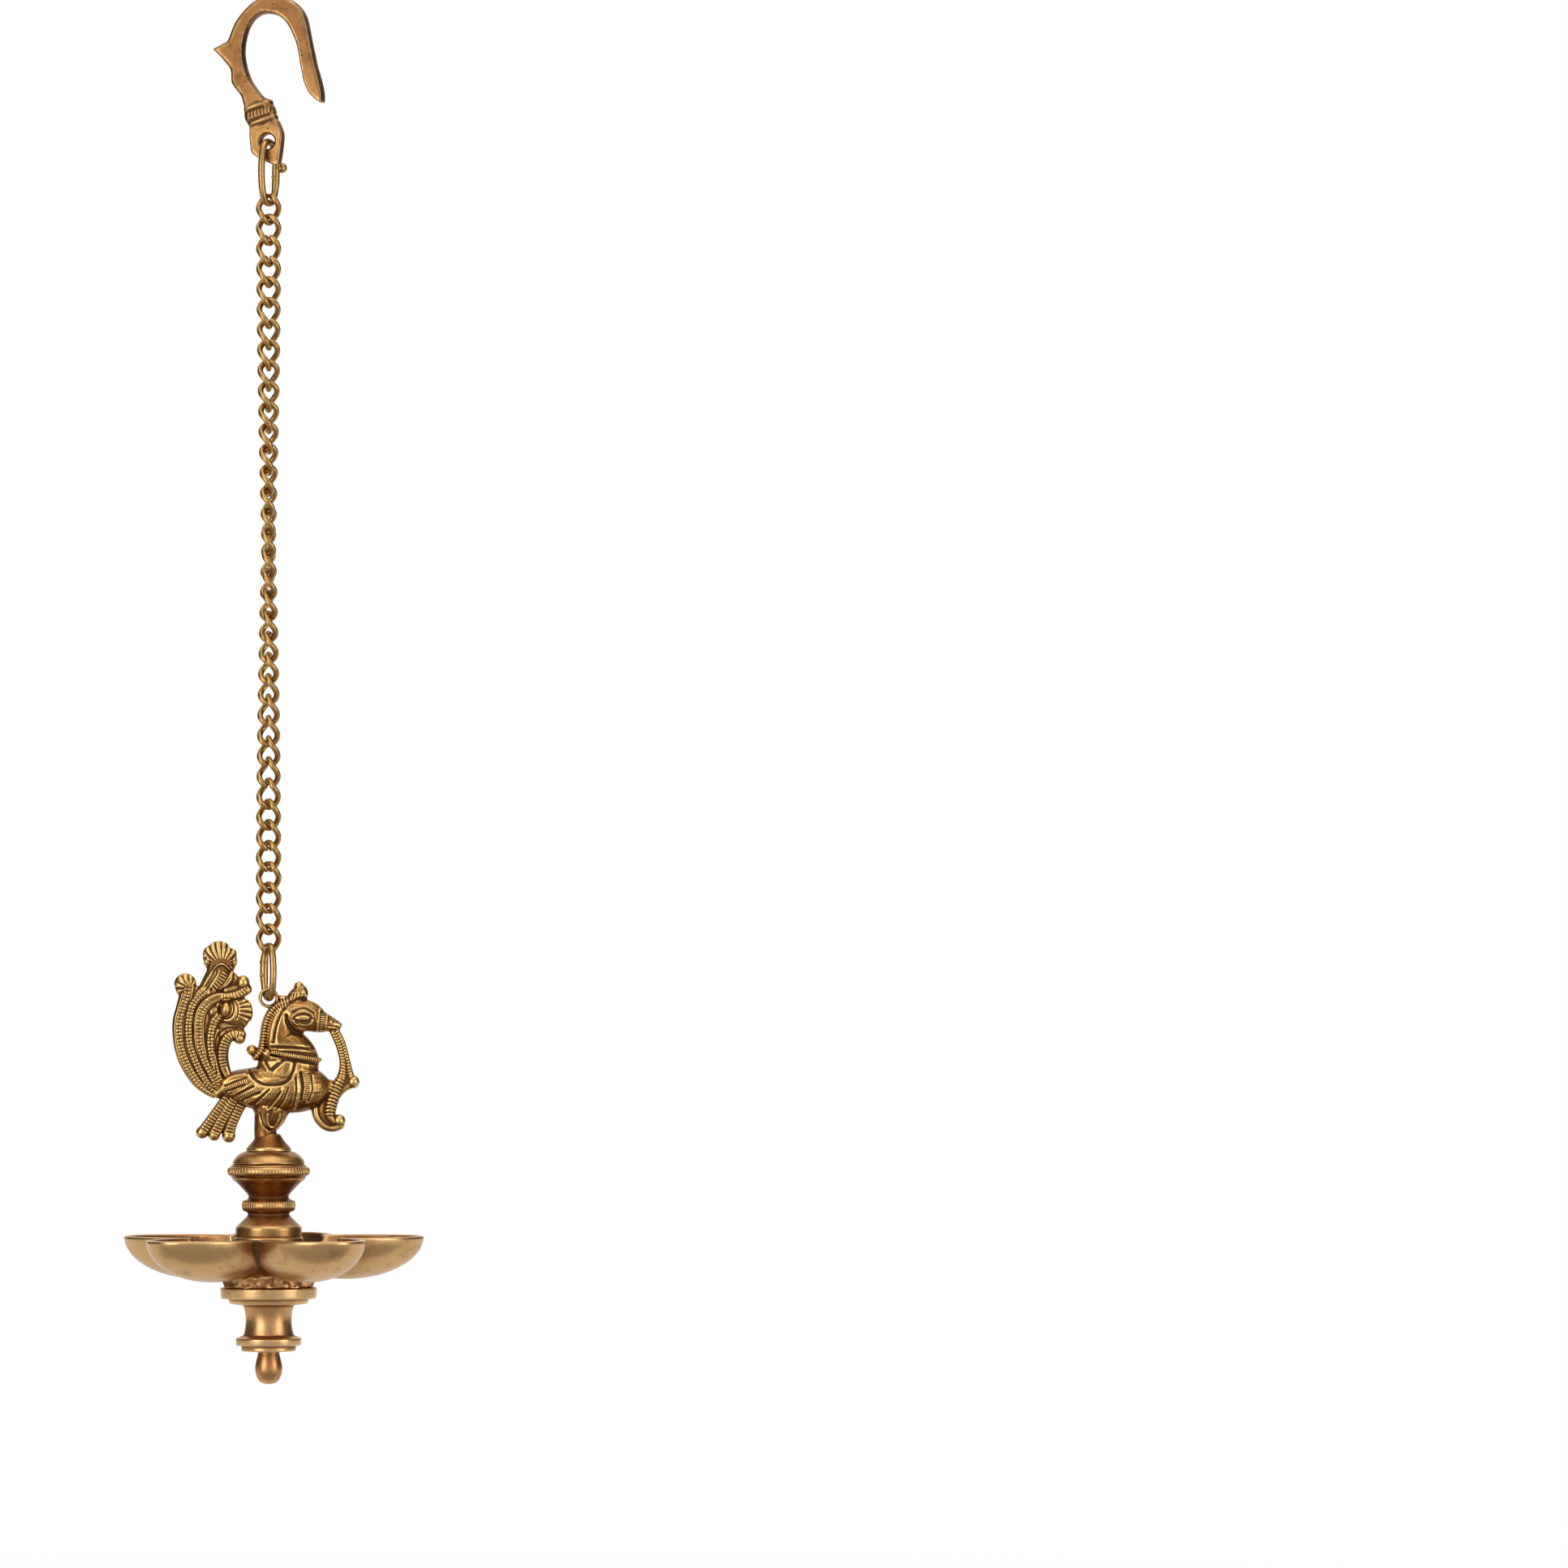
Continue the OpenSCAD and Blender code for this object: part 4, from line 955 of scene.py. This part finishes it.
bird = cast("bird_body", body_forms, bird_voxel, 2, loop_z)
chased = Chaser(bird.data)
chased.shield(1.7, -25.2, width=8.3, tall=8, top=-24.2, height=0.5)
chased.rays(1.7, -24.4, first=190, last=350, inner=4.4, outer=6.8, count=26, height=0.22)
for line, width, depth in ((saddle_line, 1.3, 0.8), ([(-1.7, -24.3), (0.5, -28)], 1.0, 0.6),
                           ([(5.4, -24.6), (1.4, -28)], 1.3, 0.7)):
    chased.groove(line, width, depth)
for line in ribbed_feathers:
    chased.ribs(line, width=1.1, pitch=0.82, height=0.34)
for line in plain_feathers:
    chased.groove(line, width=1.1, depth=-0.34)
for line in feather_lines:
    chased.groove(line, width=0.7, depth=0.5)
chased.groove(deep_line, width=1.1, depth=0.8)
chased.ribs(necklace, width=1.05, pitch=0.85, height=0.36)
mane_line = [(19.5, -3.5), (15.9, -0.8), (12.4, -0.3), (8.9, -1.4), (5.9, -4), (4.1, -7.2),
             (2.6, -11.8), (1.6, -17.2)]
for line, width, depth in (
        ([(1.1, -19.2), (7.9, -19.2), (15.5, -19.7)], 1.0, 0.6),
        ([(4.4, -23.7), (7.6, -24.2), (12.4, -24.9), (20.5, -26.2)], 0.9, 0.6),
        (mane_line, 1.2, 0.75),
        ([(6.8, -6.8), (7.5, -9.8), (9.5, -12.5), (12.7, -14.5)], 1.4, 0.9),
        ([(9.1, -5.5), (11.4, -4.3), (14.4, -4), (17.7, -5.8)], 0.7, 0.5),
        ([(10.5, -9.5), (13.1, -11.5), (16.3, -11.1)], 0.7, 0.45),
        ([(20, -4.6), (18.8, -13.4)], 0.8, -0.4),
        ([(23, -6.4), (22, -13)], 0.8, -0.4),
        ([(23.2, -10.9), (28.4, -11.9)], 0.6, 0.55),
        ([(-3.6, -44.8), (-2, -49.6), (0.2, -51.8)], 0.8, 0.4),
        ([(7.6, -44.6), (4, -49.2), (1.2, -51.8)], 0.8, 0.4),
        ([(-0.4, -45.4), (-0.2, -49.4), (1.4, -50.6), (3, -49.2), (4.4, -45.4)], 0.7, -0.5)):
    chased.groove(line, width, depth)
chased.dome(24.4, -9.6, radius=0.8, height=0.4)
for x in (10, 11.4, 12.8, 14.2):
    chased.groove([(x - 0.9, -0.8), (x - 0.4, 0.6), (x - 0.3, 1.6)], width=0.55, depth=0.32)
chased.scales((17, -43), (24, -27), pitch=1.45, depth=0.07)
for line, width, pitch, height, slant in (
        (mane, 1.9, 1.2, 0.45, 0), ([(21.4, -5.4), (20.6, -13.2)], 1.0, 0.9, 0.3, 0),
        (vine_out[:4], 1.4, 1.15, 0.3, 0.15), (vine_in[:4], 1.6, 1.15, 0.24, -0.2),
        (vine_in[3:7], 2.6, 1.4, 0.45, 0)):
    chased.ribs(line, width, pitch, height, slant)
for line in lower_feathers:
    chased.ribs(line, width=1.7, pitch=1.3, height=0.4)
finish_casting(bird, chased)
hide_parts("bird")
for piece in (tail, bird):
    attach(piece, "lamp")


# Pedestal: turned from a brass casting, smooth and brown on the tapers, with two rings cut into
# small beads and ribs. It stands on the dish's hub and is clamped by the inner stud.
lathe_brass = brass("lathe_brass", "9C6C3E", "84542C", "D8AC6E", "54351C",
                    rough=0.37, mottle=45, patina=0.55, pits=0.4)
lathe_recesses = [(8, 0.1), (50, 0.5)]
around = 160
axis_gap = 0.01


def lathe_form(profile):
    """A solid turned about Z from a profile of radius and height in mm."""
    ring = full_turn(around)
    verts = [(r * math.cos(a), r * math.sin(a), h) for r, h in profile for a in ring]
    return verts, skin(len(profile), around)


def turned(name, profile, material, foot):
    """One turned piece that stands on the height of its foot."""
    piece = link(name, form_mesh(name, [lathe_form(dense(profile))], foot))
    coat(piece, material)
    return piece


def rounded(corners, radius, steps=5):
    """A profile with its inner corners rounded off by that radius, as far as their sides allow."""
    out = [corners[0]]
    for a, b, c in zip(corners, corners[1:], corners[2:]):
        a, b, c = np.array(a, float), np.array(b, float), np.array(c, float)
        cut = min(radius, 0.45 * np.linalg.norm(a - b), 0.45 * np.linalg.norm(c - b))
        p = b + (a - b) / np.linalg.norm(a - b) * cut
        q = b + (c - b) / np.linalg.norm(c - b) * cut
        for t in np.linspace(0, 1, steps):
            out.append(tuple((1 - t) ** 2 * p + 2 * t * (1 - t) * b + t ** 2 * q))
    return out + [corners[-1]]


def dense(profile, gap=0.5):
    """The same profile with points no further apart than about twice the gap."""
    out = [profile[0]]
    for a, b in zip(profile, profile[1:]):
        n = max(1, int(math.hypot(b[0] - a[0], b[1] - a[1]) / gap))
        out += [(a[0] + (b[0] - a[0]) * i / n, a[1] + (b[1] - a[1]) * i / n)
                for i in range(1, n + 1)]
    return out


def arc(x, y, radius, first, last, steps=14):
    """Points of a circle, between two angles in degrees."""
    return [(x + radius * math.cos(a), y + radius * math.sin(a))
            for a in np.radians(np.linspace(first, last, steps))]


pedestal_low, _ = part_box("pedestal")
pedestal_height = 33.6
lower_bead, upper_bead = 12.2, 25.7
lathe_round = 0.35
pedestal_profile = rounded([
    (axis_gap, 0), (12.9, 0), (13, 3.7), (12.2, 4.6), (9, 7.6), (8.1, 8.6),
    *arc(7.6, lower_bead, 2.7, -75, 75), (7.7, 15.6), (8.6, 17.2), (12.6, 21.4), (14.2, 22.4),
    (14.4, 23.2), *arc(13.6, upper_bead, 2.3, -60, 60), (14.6, 28.1), (13.6, 28.6),
    *arc(7.3, 26.2, 7.5, 22, 80), (8, pedestal_height), (axis_gap, pedestal_height)], lathe_round)
pedestal = turned("turned_pedestal", pedestal_profile, lathe_brass, pedestal_low.z)
mark_recesses(pedestal.data, lathe_recesses)

bead_tree, bead_in, start = tree_with(
    "bead_row", Geometry=["Body"], Int=["Count"],
    Float=["Ring Radius", "Height", "Bead Width", "Bead Depth", "Bead Height"])
row = start.geo("MeshCircle", {
    "Vertices": bead_in["Count"], "Radius": bead_in["Ring Radius"]})
row = start.geo("Transform", {
    "Geometry": row, "Translation": start.make("ShaderNodeCombineXYZ", {"Z": bead_in["Height"]})})
bead = start.geo("MeshIcoSphere", {"Radius": 1.0, "Subdivisions": 2})
angle = start.geo("InputIndex") * (2 * math.pi)
angle = start.math("DIVIDE", angle, bead_in["Count"])
beads = start.geo("InstanceOnPoints", {
    "Points": row, "Instance": bead,
    "Rotation": start.make("ShaderNodeCombineXYZ", {"Z": angle}),
    "Scale": start.make("ShaderNodeCombineXYZ", {
        "X": bead_in["Bead Depth"], "Y": bead_in["Bead Width"], "Z": bead_in["Bead Height"]})})
close_tree(bead_tree, (beads, bead_in["Body"]), lathe_brass)

for count, radius, height, width, depth, tall in (
        (69, 15.2, upper_bead, 0.62, 1.0, 1.55), (55, 9.6, lower_bead, 0.46, 0.9, 2.1)):
    grow(pedestal, bead_tree, {
        "Count": count, "Ring Radius": radius * MM, "Height": pedestal_low.z + height * MM,
        "Bead Width": width * MM, "Bead Depth": depth * MM, "Bead Height": tall * MM})
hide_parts("pedestal")
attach(pedestal, "lamp")


# Dish: a rough brass casting of petals that run together round a hub, filed smooth on the petals
# and left rough on the boss underneath. Each petal holds oil and a wick. The stud passes through
# the hub.
dish_brass = brass("dish_brass", "BA895A", "A57447", "DDB57C", "4A2E16",
                   rough=0.37, mottle=38, patina=0.8, pits=0.9)
petals = 5
petal_turn = math.radians(10)
dish_radius = 61.7
dish_depth = 16.8
petal_width = 41.0
dish_wall = 2.4
lip_height = 0.55
hub_radius = 13.5
hub_overlap = 1.5
boss_radius = 17.5
boss_drop = 3.0
boss_lumps = 1.1
petal_long = dish_radius / 2 - 0.1
petal_mid = dish_radius - petal_long
dish_around = 240
dish_rows = 26
rim = pedestal_low.z


def petal_row(share, inset):
    """One ring of points of the petals' bowl, from the hub at 0 to the rim at 1."""
    a, b, deep = petal_long - inset, petal_width / 2 - inset, dish_depth - inset
    angle = full_turn(dish_around)
    off = np.abs((angle + math.pi / petals) % (2 * math.pi / petals) - math.pi / petals)
    c, s = np.cos(off), np.sin(off)
    p, q = c * c / a ** 2 + s * s / b ** 2, petal_mid * c / a ** 2
    edge = (q + np.sqrt(q * q - p * (petal_mid ** 2 / a ** 2 - 1))) / p
    r = (hub_radius - hub_overlap) + (edge - hub_radius + hub_overlap) * share
    h = deep * np.sqrt(np.maximum(0, 1 - ((r * c - petal_mid) / a) ** 2 - (r * s / b) ** 2))
    turn = angle + petal_turn
    return np.stack([r * np.cos(turn), r * np.sin(turn), -h], 1)


rows = np.sin(np.linspace(0, math.pi / 2, dish_rows))
outer = [petal_row(share, 0) for share in rows]
inner = [petal_row(share, dish_wall) for share in rows]
lip = []
for q in np.linspace(0, math.pi, 9)[1:-1]:
    ring = 0.5 * (outer[-1] + inner[-1]) + 0.5 * (outer[-1] - inner[-1]) * math.cos(q)
    ring[:, 2] = lip_height * math.sin(q) - lip_height
    lip.append(ring)
for ring in (outer[-1], inner[-1]):
    ring[:, 2] = -lip_height
rings = outer + lip + inner[::-1]
bowl = np.vstack(rings), skin(len(rings), dish_around, closed=True)
hub_profile = rounded([
    (axis_gap, -dish_depth - boss_drop), (boss_radius, -dish_depth - boss_drop),
    (boss_radius, 1.9 - dish_depth), (hub_radius, 9.9 - dish_depth), (hub_radius, 0),
    (axis_gap, 0)], 0.8)
dish = link("petal_dish", form_mesh("petal_dish", [bowl, lathe_form(dense(hub_profile, 0.6))], rim))
coat(dish, dish_brass)
co = points(dish.data)
ring = np.hypot(co[:, 0], co[:, 1]) / MM
below = (rim - co[:, 2]) / MM - dish_depth
on_boss = fade(boss_radius + 1.5 - ring, 1) * fade(ring - hub_radius + 1.5, 1) * fade(below + 3, 1)
lumps = boss_lumps / boss_radius * uneven(co, broad=3.6, fine=1.5, share=0.3)
co[:, :2] *= (1 + on_boss * lumps)[:, None]
set_points(dish.data, co)
mark_recesses(dish.data, [(10, 0.9), (60, 4)])
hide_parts("dish")
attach(dish, "lamp")


# Stem and finial: turned brass under the dish, a flanged and waisted stem and a drop that screws
# onto the stud and clamps all the turned pieces together.
stem_brass = brass("stem_brass", "CD9862", "B88250", "E6C088", "5A3A1E",
                   rough=0.36, mottle=40, patina=0.75, pits=0.7)
stem_low, stem_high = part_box("stem")
top = (stem_high.z - stem_low.z) / MM
waist_radius, waist_flare = 9, 1.2
column = np.linspace(5.3, top - 6.2, 18)
waist = [(waist_radius + waist_flare * ((h - column.mean()) / (np.ptp(column) / 2)) ** 2, h)
         for h in column]
stem_profile = rounded([
    (axis_gap, 0), (10.7, 0), (10.7, 2.1), (12.7, 2.2), (12.9, 4.9), (12.2, 5.3), *waist[1:-1],
    (15.4, top - 6.2), (15.7, top - 4.3), (18.7, top - 4.2), (19, top - 0.2), (18.6, top),
    (axis_gap, top)], 0.4)
stem = turned("turned_stem", stem_profile, stem_brass, stem_low.z)
mark_recesses(stem.data, lathe_recesses)
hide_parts("stem")
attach(stem, "lamp")

finial_low, finial_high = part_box("finial")
finial_height = (finial_high.z - finial_low.z) / MM
finial_radius = (finial_high.x - finial_low.x) / 2 / MM
drop = [
    (0.81, 1), (0.79, 0.94), (0.86, 0.8), (0.97, 0.62), (1, 0.48), (0.97, 0.34), (0.86, 0.2),
    (0.66, 0.08), (0.36, 0.02), (0.002, 0)]
finial_profile = [(r * finial_radius, h * finial_height) for r, h in smooth_line(drop[::-1], 6)]
finial_profile.append((axis_gap, finial_height))
finial = turned("drop_finial", finial_profile, stem_brass, finial_low.z)
mark_recesses(finial.data, lathe_recesses[:1])
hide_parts("finial")
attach(finial, "lamp")


# Stud: a plain steel rod inside that holds the turned pieces together. It is unseen once the lamp
# is screwed up, so it keeps its solid's shape.
steel, start = blank("stud_steel")
grain = start.make("ShaderNodeTexNoise", {
    "Vector": start.make("ShaderNodeTexCoord", out=3), "Scale": 800.0, "Detail": 3.0})
start.plug(start.tree.nodes["Principled BSDF"], {
    "Base Color": colour("8C8C88"), "Metallic": 1.0, "Roughness": 0.3 + 0.25 * grain})
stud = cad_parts["stud"]
stud.data.materials.clear()
stud.data.materials.append(steel)


# Stage: a pale floor under the hanging lamp that fades into a white surround, three soft boxes,
# cards that only the metal mirrors, and a camera at the height of the bird that looks past the
# lamp towards the middle of the picture.
floor_drop = 0.16
floor_size = 3.0
floor_fade = (0.75, 1.5)
floor_z = cad_box[0][2] - floor_drop
world_light = 0.45


def direct_rays(start):
    """1 for rays from the camera, off metal and through glass, 0 for those that only light."""
    camera, glossy, clear = (start.make("ShaderNodeLightPath", out=f"Is {kind} Ray")
                             for kind in ("Camera", "Glossy", "Transmission"))
    return start.math("MAXIMUM", start.math("MAXIMUM", camera, glossy), clear)


def card(name, corners, surface):
    """A flat piece of the stage whose surface is made by a function of its node tree."""
    mesh = bpy.data.meshes.new(name)
    mesh.from_pydata(corners, [], [(0, 1, 2, 3)])
    material, start = blank(name)
    start.plug(start.tree.nodes["Material Output"], {"Surface": surface(start)})
    piece = link(name, mesh)
    coat(piece, material)
    return piece


def glow(start, level):
    return start.make("ShaderNodeEmission", {"Color": (1, 1, 1, 1), "Strength": level})


def paper(start):
    """Pale matte paper that turns to plain white away from the lamp."""
    place = start.make("ShaderNodeTexCoord", out=3)
    reach = start.make("ShaderNodeVectorMath", {0: place}, {"operation": "LENGTH"}, 1)
    matte = start.make("ShaderNodeBsdfDiffuse", {"Color": (0.86, 0.86, 0.86, 1)})
    share = direct_rays(start) * (0.55 + 0.45 * reach.step(*floor_fade))
    return start.make("ShaderNodeMixShader", {0: share, 1: matte, 2: glow(start, 1.0)})


square = ((-1, -1), (1, -1), (1, 1), (-1, 1))
card("floor", [(x * floor_size, y * floor_size, floor_z) for x, y in square], paper)

world = bpy.data.worlds.new("surround")
bpy.context.scene.world = world
world.use_nodes = True
start = Sock(world.node_tree)
start.plug(start.tree.nodes["Background"], {
    "Color": (1, 1, 1, 1), "Strength": world_light + (1 - world_light) * direct_rays(start)})

middle = Vector((0, 0, -0.35))
for name, place, size, power in (
        ("box_left", (-1.0, -1.1, -0.15), (0.8, 1.2), 8.0),
        ("box_right", (1.2, -0.8, -0.3), (0.7, 1.2), 6.0),
        ("box_top", (0.1, -0.4, 1.2), (1.0, 1.0), 5.0)):
    lamp = bpy.data.lights.new(name, "AREA")
    lamp.shape = "RECTANGLE"
    lamp.size, lamp.size_y = size
    lamp.energy = power
    soft_box = link(name, lamp)
    soft_box.location = place
    soft_box.rotation_euler = (middle - Vector(place)).to_track_quat("-Z", "Y").to_euler()


def mirror_card(name, corners, level):
    """A card that only reflections show, to set how bright the metal mirrors that side."""
    piece = card(name, corners, lambda start: glow(start, level))
    piece.visible_camera = piece.visible_diffuse = piece.visible_shadow = False


front_y, front_half, front_low, front_high = -4.2, 1.6, -0.58, 2
mirror_card("front_card", [
    (-front_half, front_y, front_low), (front_half, front_y, front_low),
    (front_half, front_y, front_high), (-front_half, front_y, front_high)], level=0.5)
low_half, low_front, low_back = 0.7, -1.2, -0.05
low_corners = ((-low_half, low_front), (low_half, low_front), (low_half, low_back),
               (-low_half, low_back))
mirror_card("low_card", [(x, y, floor_z + 2 * MM) for x, y in low_corners], level=0.4)
flag_corners = ((-1.0, -1.2), (3.0, -1.2), (3.0, 1.4), (-1.0, 1.4))
for aside, name in ((-1.7, "left_flag"), (1.7, "right_flag")):
    mirror_card(name, [(aside, y, z) for y, z in flag_corners], level=0.1)

picture = 1932
pixel = 0.319 * MM
lens_pixels = 9680
eye_level = 1182
lamp_column = 331
hook_row = 16
sensor = 36
pitch = math.atan((eye_level - picture / 2) / lens_pixels)
yaw = math.atan((picture / 2 - lamp_column) / lens_pixels)
side = Vector((1, 0, 0))
up = Vector((0, -math.sin(pitch), math.cos(pitch)))
ahead = Vector((0, math.cos(pitch), math.sin(pitch)))
forward = math.cos(yaw) * ahead + math.sin(yaw) * side
right = math.cos(yaw) * side - math.sin(yaw) * ahead
camera = link("camera", bpy.data.cameras.new("camera"))
camera.data.sensor_width = sensor
camera.data.lens = sensor * lens_pixels / picture
camera.data.clip_end = 20
camera.location = (0, -lens_pixels * pixel, (hook_row - eye_level) * pixel)
camera.rotation_euler = Matrix([[right[i], up[i], -forward[i]] for i in range(3)]).to_euler()
bpy.context.scene.camera = camera
bpy.context.scene.view_settings.view_transform = "Standard"
